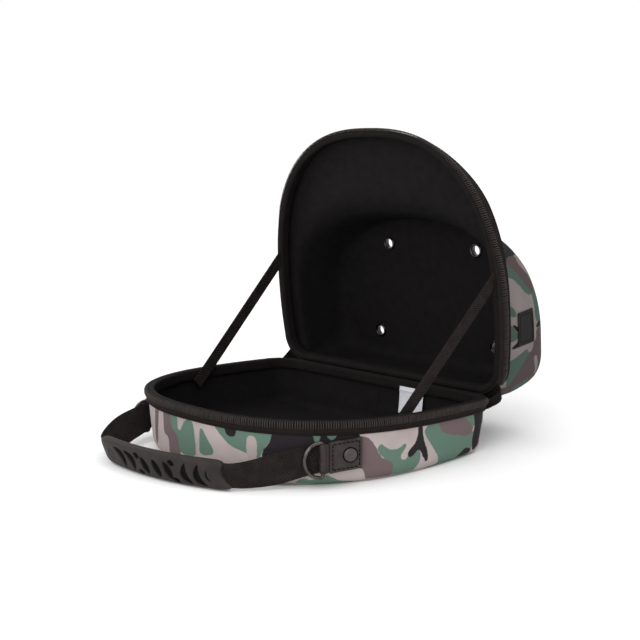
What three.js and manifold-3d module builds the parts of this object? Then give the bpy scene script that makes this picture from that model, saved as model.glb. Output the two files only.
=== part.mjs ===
// A zipped hard-shell carrier for caps, standing open: a shallow D-shaped tray, a lid with a domed
// crown pocket, two webbing stays, and a carry strap with a moulded grip lying in front.
// Millimetres, +Z up. The origin is the middle of the tray's flat underside, the hinge is at +Y.
import * as THREE from "three";
import { mergeVertices } from "three/addons/utils/BufferGeometryUtils.js";
import Module from "manifold-3d";

const wasm = await Module();
wasm.setup();

// Case outline, seen from above
const CASE_LENGTH = 256;
const CASE_HALF_WIDTH = 153;
const HINGE_NARROWING = 8;
const WIDEST_FROM_HINGE = 80;
const FRONT_POWER = 2.5;
const CORNER_RADIUS = 16;
const LEAST_CORNER_RADIUS = 6;
const HINGE_Y = CASE_LENGTH / 2;

// Tray and lid
const TRAY_HEIGHT = 53;
const RIM_RISE = 6.5;
const RIM_INSET = 4;
const BOTTOM_INSET = 17;
const BOTTOM_FILLET = 15;
const FILLET_STEPS = 4;
const WALL_LEAN = 3;
const LID_ANGLE = 84.3;
const LID_DROP = 5.5;
const LID_DEPTH = 89;

// Wall build-up, from the outside in
const SHELL_THICKNESS = 2.5;
const LINING_THICKNESS = 1.2;
const LINING_GAP = 0.5;
const GAP = 0.3;
const EDGE_BELOW_RIM = 2.5;

// Sections of the lid from its rim over the brim panel and up the crown dome, at each depth behind the rim
const LID_ROWS = [
  { half: 149, front: 252, hinge: 4, corner: 12, power: 2.5, widest: 80, narrowing: 8, z: EDGE_BELOW_RIM },
  { half: 148.5, front: 251, hinge: 0.5, corner: 11, power: 2.5, widest: 80, narrowing: 8, z: 13 },
  { half: 147.2, front: 246, hinge: -3, corner: 10, power: 2.5, widest: 80, narrowing: 8, z: 19.5 },
  { half: 145.6, front: 239, hinge: -5, corner: 10, power: 2.5, widest: 80, narrowing: 8, z: 22 },
  { half: 144.4, front: 188, hinge: -5.2, corner: 10, power: 2.5, widest: 79, narrowing: 8, z: 22.6 },
  { half: 143.8, front: 178, hinge: -5.5, corner: 11, power: 2.45, widest: 77, narrowing: 8, z: 26 },
  { half: 143, front: 172, hinge: -6.2, corner: 14, power: 2.4, widest: 72, narrowing: 7, z: 35 },
  { half: 138.8, front: 168, hinge: -8, corner: 25, power: 2.25, widest: 52, narrowing: 3, z: 71 },
  { half: 135, front: 167, hinge: -7, corner: 27, power: 2.2, widest: 47, narrowing: 2, z: 80 },
  { half: 130.3, front: 163, hinge: -3, corner: 30, power: 2.3, widest: 45, narrowing: 1, z: 87 },
  { half: 123, front: 156, hinge: 4, corner: 30, power: 2.3, widest: 45, narrowing: 1, z: LID_DEPTH },
];
const DOME_FOOT = LID_ROWS[6];
const DOME_HEAD = LID_ROWS[7];

// Zip tape, coil and inside binding on both rims
const TAPE_THICKNESS = 1.4;
const TAPE_BOTTOM = 12.6;
const COIL_TOP = 2.6;
const COIL_BOTTOM = 8.2;
const COIL_OUT = 4;
const COIL_ROUND = 0.6;
const ZIP_END_FROM_HINGE = 12;
const BINDING_THICKNESS = 1.4;
const BINDING_DEPTH = 11;
const BINDING_OVERHANG = 1.6;
const BINDING_LEAN = 0.8;
const BINDING_ROUND = 0.6;

// Hinge strip
const STRIP_HALF_LENGTH = 126;
const STRIP_THICKNESS = 1.2;
const STRIP_DOWN = 22;
const STRIP_BELOW_RIM = 3.7;
const STRIP_FLAT = 4;
const STRIP_BACK = 22;
const STRIP_LIFT = -5.2;

// Stays
const STAY_TRAY_X = 137.6;
const STAY_LID_X = 145;
const STAY_LID_CLEAR = 0.5;
const STAY_TRAY_FROM_HINGE = 120;
const STAY_LID_FROM_HINGE = 113.75;
const STAY_WIDTH = 13;
const STAY_THICKNESS = 1.2;
const STAY_TRAY_TAIL = 21;
const STAY_TWIST = { left: 60, right: 0 };
const STAY_STEPS = 10;

// Vent eyelets through the crown panel
const EYELET_BORE = 5;
const EYELET_BARREL = 5.5;
const EYELET_FLANGE = 7.5;
const EYELET_RIM = 1.3;
const EYELET_ROUND = 0.7;
const EYELET_HOLE_LENGTH = 20;
const EYELET_SIDES = 12;
const EYELETS = [
  { name: "eyelet_top_left", x: -59.5, fromHinge: 123.5 },
  { name: "eyelet_top_right", x: 59.5, fromHinge: 123.5 },
  { name: "eyelet_low_left", x: -80, fromHinge: 24 },
  { name: "eyelet_low_right", x: 80, fromHinge: 24 },
];

// Carry strap, tabs, rivets and rings
const WEB_WIDTH = 25;
const WEB_THICKNESS = 1.6;
const WEB_INSET = 4.2;
const TAB_REAR_FROM_HINGE = 175.5;
const TAB_LENGTH = 35;
const TAB_HEIGHT = 27;
const TAB_THICKNESS = 1.6;
const TAB_REAR_Z = 30;
const TAB_SLOPE = 0.1;
const TAB_FOLD_START = 28;
const TAB_FOLD_HEIGHT = 22.6;
const TAB_FLAT_PLACES = [0, 9, 18];
const TAB_RISE = { along: 24, out: 0.4 };
const TAB_FOLD_TURNS = [125, 90, 45, 0, -45, -90];
const TAB_TAIL = 3;
const SEWN_STEPS = 4;
const RIVET_RADIUS = 6;
const RIVET_HEIGHT = 1.8;
const RIVET_EDGE = 0.7;
const RIVET_TOP_RADIUS = 4.5;
const RIVET_SIDES = 20;
const RIVET_ALONG_TAB = 11.5;
const RING_WIRE = 1.7;
const RING_BAR_ALONG = 33;
const RING_BAR_OUT = 3.9;
const RING_INNER_HALF = 13.4;
const RING_REACH = 16;
const RING_CENTRE_Z = 25.5;
const RING_BOW_STEPS = 10;
const RING_SIDES = 8;
const STRAP_PAST_GRIP = 4;
const STRAP_GRIP_STEPS = 14;
const STRAP_FREE = {
  right: [
    { x: 107.5, y: -94.5, z: 23 },
    { x: 95, y: -111, z: 18 },
    { x: 82, y: -127, z: 14.8 },
  ],
  left: [
    { x: -109, y: -96, z: 23 },
    { x: -102, y: -116, z: 18.5 },
    { x: -91, y: -138, z: 15.2 },
  ],
};

// Grip
const GRIP_LENGTH = 150;
const GRIP_HEIGHT = 28;
const GRIP_THICKNESS = 11;
const GRIP_END_RADIUS = 8;
const GRIP_EDGE = 2.5;
const GRIP_BEND_RADIUS = 244;
const GRIP_PLACE = new THREE.Vector3(-3.4, -160, 14.5);
const GRIP_TURN = 7.4;
const GRIP_CHANNEL = { width: 26.4, thickness: 2.4 };
const GRIP_STEP = 6;
const GRIP_SLOT_DEPTH = 2;
const GRIP_END_SHARES = [0.45, 0.8, 1];
const CHANNEL_PAST_END = 2;
const GRIP_SLOTS = [
  { along: -55, length: 15, width: 5.5, slant: 62 },
  { along: -42, length: 17, width: 5.5, slant: 58 },
  { along: -21, length: 17, width: 8, slant: 48 },
  { along: 0, length: 17, width: 8, slant: 48 },
  { along: 21, length: 17, width: 8, slant: 48 },
  { along: 42, length: 17, width: 5.5, slant: 58 },
  { along: 55, length: 15, width: 5.5, slant: 62 },
];

// Patch on the lid's right side, care label at the hinge, zip slider at the far corner
const PATCH = { fromHinge: 60, length: 33, depth: 50, height: 27, thickness: 1.2, clear: 0.6, rows: 3 };
const LABEL = { x: 45.5, top: 6.5, width: 27, height: 27, thickness: 0.6 };
const SLIDER = { fromHinge: 24, length: 15, height: 9, thickness: 4 };
const PULL = { length: 24, width: 6, thickness: 1.6, sunk: 0.2 };

const UP = new THREE.Vector3(0, 0, 1);
const ACROSS = new THREE.Vector3(1, 0, 0);

const MATERIALS = {
  camo: { color: 0x8d867f, roughness: 0.75, metalness: 0 },
  lining: { color: 0x17161a, roughness: 0.95, metalness: 0 },
  webbing: { color: 0x1b1a1c, roughness: 0.85, metalness: 0 },
  coil: { color: 0x2a2729, roughness: 0.55, metalness: 0 },
  leather: { color: 0x2b2527, roughness: 0.6, metalness: 0 },
  rubber: { color: 0x2a2828, roughness: 0.65, metalness: 0 },
  steel: { color: 0xb9bbbd, roughness: 0.3, metalness: 1 },
  gunmetal: { color: 0x55524f, roughness: 0.35, metalness: 1 },
  label: { color: 0xf2f2f2, roughness: 0.8, metalness: 0 },
};

// A named mesh with its own material
function mesh(name, geometry, finish) {
  const made = new THREE.Mesh(geometry, new THREE.MeshStandardMaterial(MATERIALS[finish]));
  made.name = name;
  return made;
}

// A closed body from points and triangles, turned so that its faces point out
function body(points, triangles) {
  let volume = 0;
  for (const [a, b, c] of triangles) {
    volume += points[a].dot(points[b].clone().cross(points[c]));
  }
  const order = volume > 0 ? triangles : triangles.map(([a, b, c]) => [a, c, b]);
  const geometry = new THREE.BufferGeometry().setFromPoints(points);
  geometry.setIndex(order.flat());
  return geometry;
}

// Only the merged positions of a geometry, as a solid for joining and cutting
function toSolid(geometry) {
  const bare = geometry.clone();
  bare.deleteAttribute("normal");
  bare.deleteAttribute("uv");
  const merged = mergeVertices(bare, 1e-4);
  const vertProperties = new Float32Array(merged.attributes.position.array);
  const triVerts = new Uint32Array(merged.index.array);
  return new wasm.Manifold(new wasm.Mesh({ numProp: 3, vertProperties, triVerts }));
}

function fromSolid(solid) {
  const { vertProperties, triVerts } = solid.getMesh();
  const geometry = new THREE.BufferGeometry();
  geometry.setAttribute("position", new THREE.BufferAttribute(new Float32Array(vertProperties), 3));
  geometry.setIndex(Array.from(triVerts));
  return geometry;
}

function cut(geometry, cutters) {
  let solid = toSolid(geometry);
  for (const cutter of cutters) {
    solid = solid.subtract(toSolid(cutter));
  }
  return fromSolid(solid);
}

// Half width of a D section at a distance from the hinge line
function halfWidthAt(section, distance) {
  const { half, front, power = FRONT_POWER } = section;
  const { widest = WIDEST_FROM_HINGE, narrowing = HINGE_NARROWING } = section;
  if (distance < widest) {
    return half - narrowing * ((widest - distance) / widest) ** 2;
  }
  const along = Math.min((distance - widest) / (front - widest), 1);
  return half * (1 - along ** power) ** (1 / power);
}

// Points round a D section, counter-clockwise from the middle of the hinge edge; y is 0 on the hinge line
const RING_STEPS = { hinge: 2, corner: 4, side: 4, front: 10 };

function dSection(section) {
  const { half, front, hinge, corner, power = FRONT_POWER, widest = WIDEST_FROM_HINGE, z } = section;
  const sideStart = hinge + corner;
  const cornerX = halfWidthAt(section, sideStart) - corner;
  const left = [];
  for (let i = 0; i < RING_STEPS.hinge; i += 1) {
    left.push([-cornerX * i / RING_STEPS.hinge, -hinge]);
  }
  for (let i = 0; i <= RING_STEPS.corner; i += 1) {
    const turn = Math.PI / 2 * i / RING_STEPS.corner;
    left.push([-cornerX - corner * Math.sin(turn), -sideStart + corner * Math.cos(turn)]);
  }
  for (let i = 1; i <= RING_STEPS.side; i += 1) {
    const distance = sideStart + (widest - sideStart) * i / RING_STEPS.side;
    left.push([-halfWidthAt(section, distance), -distance]);
  }
  for (let i = 1; i < RING_STEPS.front; i += 1) {
    const turn = Math.PI / 2 * i / RING_STEPS.front;
    const distance = widest + (front - widest) * Math.sin(turn) ** (2 / power);
    left.push([-half * Math.cos(turn) ** (2 / power), -distance]);
  }
  const right = left.slice(1).reverse().map(([x, y]) => [-x, y]);
  const height = typeof z === "function" ? z : () => z;
  return [...left, [0, -front], ...right].map(([x, y]) => new THREE.Vector3(x, y, height(y)));
}

// The case outline drawn in by an inset
function outline(inset, z) {
  return dSection({
    half: CASE_HALF_WIDTH - inset,
    front: CASE_LENGTH - inset,
    hinge: inset,
    corner: Math.max(CORNER_RADIUS - inset, LEAST_CORNER_RADIUS),
    z,
  });
}

// Rings moved inward along the wall's own normals; the rim ring stays in its plane, the last ring stays flat
function offsetRings(rings, distance, inward) {
  const count = rings[0].length;
  const last = rings.length - 1;
  return rings.map((ring, row) => ring.map((point, i) => {
    const along = ring[(i + 1) % count].clone().sub(ring[(i + count - 1) % count]);
    const onward = rings[Math.min(row + 1, last)][i].clone().sub(rings[Math.max(row - 1, 0)][i]);
    const normal = along.cross(onward).normalize();
    if (row === 0) {
      normal.setZ(0).normalize();
    }
    if (row === last) {
      normal.set(0, 0, 1);
    }
    return point.clone().addScaledVector(normal, distance * inward);
  }));
}

// A wall with a closed end, between an outer and an inner stack of rings that both start at the rim
function walledShell(outer, inner) {
  const count = outer[0].length;
  const points = [...outer.flat(), ...inner.flat()];
  const triangles = [];
  const quad = (a, b, c, d) => triangles.push([a, b, c], [a, c, d]);
  const innerStart = outer.length * count;
  const addRows = (start, rows, outside) => {
    for (let row = 0; row < rows - 1; row += 1) {
      for (let i = 0; i < count; i += 1) {
        const j = (i + 1) % count;
        const a = start + row * count;
        const b = a + count;
        if (outside) {
          quad(a + i, b + i, b + j, a + j);
        } else {
          quad(a + i, a + j, b + j, b + i);
        }
      }
    }
  };
  addRows(0, outer.length, true);
  addRows(innerStart, inner.length, false);
  for (let i = 0; i < count; i += 1) {
    const j = (i + 1) % count;
    quad(i, j, innerStart + j, innerStart + i);
  }
  const addEnd = (ring, start, outside) => {
    const middle = ring.reduce((sum, p) => sum.add(p), new THREE.Vector3()).divideScalar(count);
    points.push(middle);
    const centre = points.length - 1;
    for (let i = 0; i < count; i += 1) {
      const j = (i + 1) % count;
      triangles.push(outside ? [start + i, centre, start + j] : [start + j, centre, start + i]);
    }
  };
  addEnd(outer.at(-1), (outer.length - 1) * count, true);
  addEnd(inner.at(-1), innerStart + (inner.length - 1) * count, false);
  return body(points, triangles);
}

// A body swept through frames: each section point is an offset along the frame's two directions
function sweep(frames, section, closed) {
  const sides = section.length;
  const points = frames.flatMap(({ at, out, up }) => (
    section.map(([o, u]) => at.clone().addScaledVector(out, o).addScaledVector(up, u))
  ));
  const triangles = [];
  const last = closed ? frames.length : frames.length - 1;
  for (let k = 0; k < last; k += 1) {
    const a = k * sides;
    const b = ((k + 1) % frames.length) * sides;
    for (let i = 0; i < sides; i += 1) {
      const j = (i + 1) % sides;
      triangles.push([a + i, b + i, b + j], [a + i, b + j, a + j]);
    }
  }
  if (!closed) {
    const flat = section.map(([o, u]) => new THREE.Vector2(o, u));
    const end = (frames.length - 1) * sides;
    for (const [a, b, c] of THREE.ShapeUtils.triangulateShape(flat, [])) {
      triangles.push([a, b, c], [end + a, end + c, end + b]);
    }
  }
  return body(points, triangles);
}

// Frames round the rim, out pointing away from the case, for a ring or for part of it
function rimFrames(ring, up) {
  const count = ring.length;
  return ring.map((at, i) => {
    const along = ring[(i + 1) % count].clone().sub(ring[(i + count - 1) % count]).setZ(0).normalize();
    return { at, out: new THREE.Vector3(along.y, -along.x, 0), up };
  });
}

// A flat strap through points, with its width along a given direction at each point
function strap(stations, width, thickness) {
  const frames = stations.map(({ at, across }, i) => {
    const ahead = stations[Math.min(i + 1, stations.length - 1)].at;
    const behind = stations[Math.max(i - 1, 0)].at;
    const along = ahead.clone().sub(behind).normalize();
    return { at, out: along.cross(across).normalize(), up: across };
  });
  const t = thickness / 2;
  const w = width / 2;
  return sweep(frames, [[-t, -w], [t, -w], [t, w], [-t, w]], false);
}

// Height of the tray's rim plane over a place measured from the hinge line
function rimHeight(y) {
  return TRAY_HEIGHT - RIM_RISE * y / CASE_LENGTH;
}

// Tray wall, from the rim to the flat bottom
function trayRings() {
  const wallRows = [
    { inset: RIM_INSET, share: 1 },
    { inset: RIM_INSET + WALL_LEAN / 3, share: 0.5 },
    { inset: RIM_INSET + WALL_LEAN, share: 0 },
  ];
  const rings = wallRows.map(({ inset, share }) => outline(inset, (y) => (
    BOTTOM_FILLET + share * (rimHeight(y) - EDGE_BELOW_RIM - BOTTOM_FILLET)
  )));
  const filletStart = wallRows.at(-1).inset;
  for (let i = 1; i <= FILLET_STEPS; i += 1) {
    const turn = Math.PI / 2 * i / FILLET_STEPS;
    const inset = filletStart + (BOTTOM_INSET - filletStart) * (1 - Math.cos(turn));
    rings.push(outline(inset, BOTTOM_FILLET * (1 - Math.sin(turn))));
  }
  return rings;
}

// Lid wall, from the rim to the flat panel on top of the dome
function lidRings() {
  return LID_ROWS.map(dSection);
}

// The outer shell and the lining inside it, from one stack of rings
function shellAndLining(rings, inward) {
  const liningStart = SHELL_THICKNESS + LINING_GAP;
  const at = (distance) => offsetRings(rings, distance, inward);
  return {
    shell: walledShell(rings, at(SHELL_THICKNESS)),
    lining: walledShell(at(liningStart), at(liningStart + LINING_THICKNESS)),
  };
}

// Zip tape with its coil, round the sides and front of a rim
function zipHalf(ring, up) {
  const frames = rimFrames(ring, up).filter(({ at }) => -at.y > ZIP_END_FROM_HINGE + RIM_INSET);
  const face = GAP + TAPE_THICKNESS;
  return sweep(frames, [
    [GAP, -TAPE_BOTTOM],
    [face, -TAPE_BOTTOM],
    [face, -COIL_BOTTOM],
    [COIL_OUT - COIL_ROUND, -COIL_BOTTOM],
    [COIL_OUT, -(COIL_TOP + COIL_BOTTOM) / 2],
    [COIL_OUT - COIL_ROUND, -COIL_TOP],
    [GAP, -COIL_TOP],
  ], false);
}

// Binding folded over the rim's edge, with a leg down the inside
function rimBinding(ring, up) {
  const wall = SHELL_THICKNESS + LINING_GAP + LINING_THICKNESS + GAP;
  const inside = wall + BINDING_THICKNESS;
  const underside = EDGE_BELOW_RIM - GAP;
  return sweep(rimFrames(ring, up), [
    [BINDING_OVERHANG, -underside],
    [BINDING_OVERHANG, -underside / 2],
    [0, 0],
    [-inside + BINDING_ROUND, 0],
    [-inside, -BINDING_ROUND],
    [-inside - BINDING_LEAN, -BINDING_DEPTH],
    [-wall - BINDING_LEAN, -BINDING_DEPTH],
    [-wall, -underside],
  ], true);
}

// Woven strip that joins the tray's back wall to the lid's underside
function hingeStrip() {
  const front = -RIM_INSET + GAP;
  const top = TRAY_HEIGHT - STRIP_BELOW_RIM;
  const section = [
    [front, top - STRIP_DOWN],
    [front + STRIP_THICKNESS, top - STRIP_DOWN],
    [front + STRIP_THICKNESS, top - STRIP_THICKNESS],
    [STRIP_FLAT, top - STRIP_THICKNESS],
    [STRIP_BACK, top + STRIP_LIFT - STRIP_THICKNESS],
    [STRIP_BACK, top + STRIP_LIFT],
    [STRIP_FLAT, top],
    [front, top],
  ];
  const frames = [-STRIP_HALF_LENGTH, STRIP_HALF_LENGTH].map((x) => ({
    at: new THREE.Vector3(x, HINGE_Y, 0),
    out: new THREE.Vector3(0, 1, 0),
    up: UP,
  }));
  return sweep(frames, section, false);
}

const lidTurn = THREE.MathUtils.degToRad(LID_ANGLE);
const lidHinge = new THREE.Vector3(0, HINGE_Y, TRAY_HEIGHT - LID_DROP);

// A place in the lid, from its own x, distance from the hinge and depth behind the rim plane
function lidPlace(x, fromHinge, depth) {
  const place = new THREE.Vector3(x, -fromHinge, depth);
  return place.applyAxisAngle(ACROSS, -lidTurn).add(lidHinge);
}

// One stay from inside the tray's side up to the lid's rim, turned about its run in the middle
function stay(side) {
  const rimZ = rimHeight(-STAY_TRAY_FROM_HINGE);
  const rimPoint = new THREE.Vector3(side * STAY_TRAY_X, HINGE_Y - STAY_TRAY_FROM_HINGE, rimZ);
  const high = lidPlace(side * STAY_LID_X, STAY_LID_FROM_HINGE, -STAY_LID_CLEAR);
  const along = high.clone().sub(rimPoint).normalize();
  const low = rimPoint.clone().addScaledVector(along, -STAY_TRAY_TAIL);
  const flat = along.clone().cross(ACROSS).normalize();
  const twist = THREE.MathUtils.degToRad(side > 0 ? STAY_TWIST.right : STAY_TWIST.left);
  const stations = [];
  for (let i = 0; i <= STAY_STEPS; i += 1) {
    const share = i / STAY_STEPS;
    const turned = twist * Math.min(1, 2 * Math.sin(Math.PI * share) ** 2);
    stations.push({ at: low.clone().lerp(high, share), across: flat.clone().applyAxisAngle(along, turned) });
  }
  const upLid = lidPlace(0, 1, 0).sub(lidPlace(0, 0, 0));
  stations.at(-1).across = upLid.divideScalar(upLid.dot(flat));
  return strap(stations, STAY_WIDTH, STAY_THICKNESS);
}

// A metal eyelet clamped through shell and lining, its axis along +Z
function eyelet() {
  const inner = LID_DEPTH - SHELL_THICKNESS - LINING_GAP - LINING_THICKNESS - GAP;
  const outer = LID_DEPTH + GAP;
  const profile = [
    [EYELET_BORE, inner - EYELET_RIM / 2],
    [EYELET_BARREL, inner - EYELET_RIM],
    [EYELET_FLANGE - EYELET_ROUND, inner - EYELET_RIM],
    [EYELET_FLANGE, inner],
    [EYELET_BARREL, inner],
    [EYELET_BARREL, outer],
    [EYELET_FLANGE, outer],
    [EYELET_FLANGE - EYELET_ROUND, outer + EYELET_RIM],
    [EYELET_BORE, outer + EYELET_RIM],
  ];
  const points = [...profile, profile[0]].map(([r, z]) => new THREE.Vector2(r, z));
  return new THREE.LatheGeometry(points, EYELET_SIDES).rotateX(Math.PI / 2);
}

function eyeletHole({ x, fromHinge }) {
  const radius = EYELET_BARREL + GAP;
  const hole = new THREE.CylinderGeometry(radius, radius, EYELET_HOLE_LENGTH, EYELET_SIDES);
  return hole.rotateX(Math.PI / 2).translate(x, -fromHinge, LID_DEPTH);
}

// A place beside the tray's wall: along it from the tab's rear end, and out from the strap's inner face
const sideSection = { half: CASE_HALF_WIDTH - WEB_INSET, front: CASE_LENGTH - WEB_INSET };

function besideTray(side, along, out, z) {
  const step = 0.5;
  let distance = TAB_REAR_FROM_HINGE;
  let travelled = 0;
  const slope = (d) => (halfWidthAt(sideSection, d + step) - halfWidthAt(sideSection, d - step)) / (2 * step);
  while (travelled < along) {
    const used = Math.min(step, along - travelled);
    distance += used / Math.hypot(1, slope(distance));
    travelled += used;
  }
  const tilt = slope(distance);
  const normal = new THREE.Vector3(1, tilt, 0).normalize();
  const x = halfWidthAt(sideSection, distance) + normal.x * out;
  const y = HINGE_Y - distance + normal.y * out;
  return new THREE.Vector3(side * x, y, z);
}

// Height of the tab's middle, which drops a little towards the front
function tabZ(along) {
  return TAB_REAR_Z - TAB_SLOPE * along;
}

// Leather tab in plan: flat on the strap, then folded round the ring's bar
function tab(side) {
  const face = WEB_THICKNESS + GAP;
  const lying = face + TAB_THICKNESS / 2;
  const fold = RING_WIRE + GAP + TAB_THICKNESS / 2;
  const bar = [RING_BAR_ALONG, WEB_THICKNESS + RING_BAR_OUT];
  const middle = TAB_FLAT_PLACES.map((along) => [along, lying]);
  middle.push([TAB_RISE.along, lying + TAB_RISE.out]);
  for (const angle of TAB_FOLD_TURNS) {
    const turn = THREE.MathUtils.degToRad(angle);
    middle.push([bar[0] + fold * Math.cos(turn), bar[1] + fold * Math.sin(turn)]);
  }
  middle.push([bar[0] - TAB_TAIL, bar[1] - fold]);
  const outside = [];
  const inside = [];
  middle.forEach(([u, w], i) => {
    const [u1, w1] = middle[Math.min(i + 1, middle.length - 1)];
    const [u0, w0] = middle[Math.max(i - 1, 0)];
    const length = Math.hypot(u1 - u0, w1 - w0);
    const normal = [-(w1 - w0) / length * TAB_THICKNESS / 2, (u1 - u0) / length * TAB_THICKNESS / 2];
    outside.push([u + normal[0], w + normal[1]]);
    inside.unshift([u - normal[0], w - normal[1]]);
  });
  const loop = [...outside, ...inside];
  const edgeZ = (u, end) => {
    const flatEdge = tabZ(u) + end * TAB_HEIGHT / 2;
    const foldEdge = RING_CENTRE_Z + end * TAB_FOLD_HEIGHT / 2;
    return u < TAB_FOLD_START ? flatEdge : foldEdge;
  };
  const points = [-1, 1].flatMap((end) => loop.map(([u, w]) => besideTray(side, u, w, edgeZ(u, end))));
  const triangles = [];
  const count = loop.length;
  for (let i = 0; i < count; i += 1) {
    const j = (i + 1) % count;
    triangles.push([i, j, count + j], [i, count + j, count + i]);
  }
  const flat = loop.map(([u, w]) => new THREE.Vector2(u, w));
  const clockwise = THREE.ShapeUtils.isClockWise(flat);
  for (const [a, b, c] of THREE.ShapeUtils.triangulateShape(flat, [])) {
    const lower = clockwise ? [a, b, c] : [a, c, b];
    const upper = clockwise ? [count + a, count + c, count + b] : [count + a, count + b, count + c];
    triangles.push(lower, upper);
  }
  return body(points, triangles);
}

// Domed rivet cap on the tab's face
function rivet() {
  const profile = [
    [0, 0],
    [RIVET_RADIUS, 0],
    [RIVET_RADIUS, RIVET_EDGE],
    [RIVET_TOP_RADIUS, RIVET_HEIGHT],
    [0, RIVET_HEIGHT],
  ];
  const points = profile.map(([r, z]) => new THREE.Vector2(r, z));
  return new THREE.LatheGeometry(points, RIVET_SIDES).rotateX(Math.PI / 2);
}

function placeRivet(made, side) {
  const out = WEB_THICKNESS + GAP + TAB_THICKNESS + GAP;
  const at = besideTray(side, RIVET_ALONG_TAB, out, tabZ(RIVET_ALONG_TAB));
  const further = besideTray(side, RIVET_ALONG_TAB, out + 1, tabZ(RIVET_ALONG_TAB));
  made.position.copy(at);
  made.quaternion.setFromUnitVectors(UP, further.sub(at).normalize());
  return made;
}

// Direction in which the carry strap leaves the tab on one side
function strapLead(side) {
  const [first] = STRAP_FREE[side > 0 ? "right" : "left"];
  const start = besideTray(side, TAB_LENGTH, WEB_THICKNESS / 2, 0);
  return new THREE.Vector3(first.x - start.x, first.y - start.y, 0).normalize();
}

// D-ring: a straight bar held in the tab's fold and a round bow reaching forward over the strap
function ring(side) {
  const lead = strapLead(side);
  const outward = new THREE.Vector3(-side * lead.y, side * lead.x, 0);
  const barAt = besideTray(side, RING_BAR_ALONG, WEB_THICKNESS + RING_BAR_OUT, RING_CENTRE_Z);
  const halfBar = RING_INNER_HALF + RING_WIRE;
  const path = [-1 / 3, 1 / 3].map((share) => barAt.clone().add(new THREE.Vector3(0, 0, -share * halfBar)));
  for (let i = 0; i <= RING_BOW_STEPS; i += 1) {
    const turn = Math.PI * (i / RING_BOW_STEPS - 0.5);
    const at = barAt.clone().addScaledVector(lead, RING_REACH * Math.cos(turn));
    path.push(at.setZ(RING_CENTRE_Z + halfBar * Math.sin(turn)));
  }
  const frames = path.map((at, i) => {
    const along = path[(i + 1) % path.length].clone().sub(path.at(i - 1)).normalize();
    return { at, out: outward, up: along.cross(outward).normalize() };
  });
  const section = [];
  for (let i = 0; i < RING_SIDES; i += 1) {
    const turn = Math.PI * 2 * i / RING_SIDES;
    section.push([RING_WIRE * Math.cos(turn), RING_WIRE * Math.sin(turn)]);
  }
  return sweep(frames, section, true);
}

// A flat place in the grip, bent round: along its length, out to the front, and up
function bend(along, out, up) {
  const turn = along / GRIP_BEND_RADIUS;
  const reach = GRIP_BEND_RADIUS + out;
  return new THREE.Vector3(reach * Math.sin(turn), GRIP_BEND_RADIUS - reach * Math.cos(turn), up);
}

const gripTurn = THREE.MathUtils.degToRad(GRIP_TURN);

function gripPlace(along) {
  return bend(along, 0, 0).applyAxisAngle(UP, gripTurn).add(GRIP_PLACE);
}

// A frame across the grip at a place along it, its height scaled by a share
function gripFrame(along, share) {
  const turn = along / GRIP_BEND_RADIUS;
  return {
    at: bend(along, 0, 0),
    out: new THREE.Vector3(Math.sin(turn), -Math.cos(turn), 0),
    up: new THREE.Vector3(0, 0, share),
  };
}

// Share of the full height at a place along the grip, which is less in its rounded ends
function gripShare(along) {
  const past = Math.abs(along) - (GRIP_LENGTH / 2 - GRIP_END_RADIUS);
  if (past <= 0) {
    return 1;
  }
  const drop = GRIP_END_RADIUS - Math.sqrt(Math.max(GRIP_END_RADIUS ** 2 - past ** 2, 0));
  return 1 - drop / (GRIP_HEIGHT / 2);
}

// One slot cutter, slanted in the grip's front face
function gripSlot({ along, length, width, slant }) {
  const slot = new THREE.Shape();
  const run = (length - width) / 2;
  slot.absarc(run, 0, width / 2, -Math.PI / 2, Math.PI / 2, false);
  slot.absarc(-run, 0, width / 2, Math.PI / 2, Math.PI * 1.5, false);
  const extrusion = { depth: GRIP_THICKNESS, bevelEnabled: false, curveSegments: 5 };
  const cutter = new THREE.ExtrudeGeometry(slot, extrusion);
  const { at, out } = gripFrame(along, 1);
  cutter.rotateZ(THREE.MathUtils.degToRad(slant));
  cutter.translate(0, 0, GRIP_THICKNESS / 2 - GRIP_SLOT_DEPTH);
  const placed = new THREE.Matrix4().makeBasis(UP.clone().cross(out), UP, out);
  placed.setPosition(at);
  return cutter.applyMatrix4(placed);
}

// Moulded grip: a bowed sleeve round the strap with slanted slots sunk in its front
function grip() {
  const half = GRIP_LENGTH / 2;
  const high = GRIP_HEIGHT / 2;
  const deep = GRIP_THICKNESS / 2;
  const edge = GRIP_EDGE;
  const straight = half - GRIP_END_RADIUS;
  const steps = Math.round(2 * straight / GRIP_STEP);
  const places = [];
  for (let i = 0; i <= steps; i += 1) {
    places.push(-straight + 2 * straight * i / steps);
  }
  for (const share of GRIP_END_SHARES) {
    places.unshift(-straight - share * GRIP_END_RADIUS);
    places.push(straight + share * GRIP_END_RADIUS);
  }
  const sleeve = sweep(places.map((along) => gripFrame(along, gripShare(along))), [
    [-deep, -high + edge],
    [-deep + edge, -high],
    [deep - edge, -high],
    [deep, -high + edge],
    [deep, high - edge],
    [deep - edge, high],
    [-deep + edge, high],
    [-deep, high - edge],
  ], false);
  const slit = GRIP_CHANNEL.thickness / 2;
  const tall = GRIP_CHANNEL.width / 2;
  const ends = half + CHANNEL_PAST_END;
  const through = [-ends, ...places, ends].map((along) => gripFrame(along, 1));
  const channel = sweep(through, [[-slit, -tall], [slit, -tall], [slit, tall], [-slit, tall]], false);
  return cut(sleeve, [...GRIP_SLOTS.map(gripSlot), channel]);
}

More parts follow.
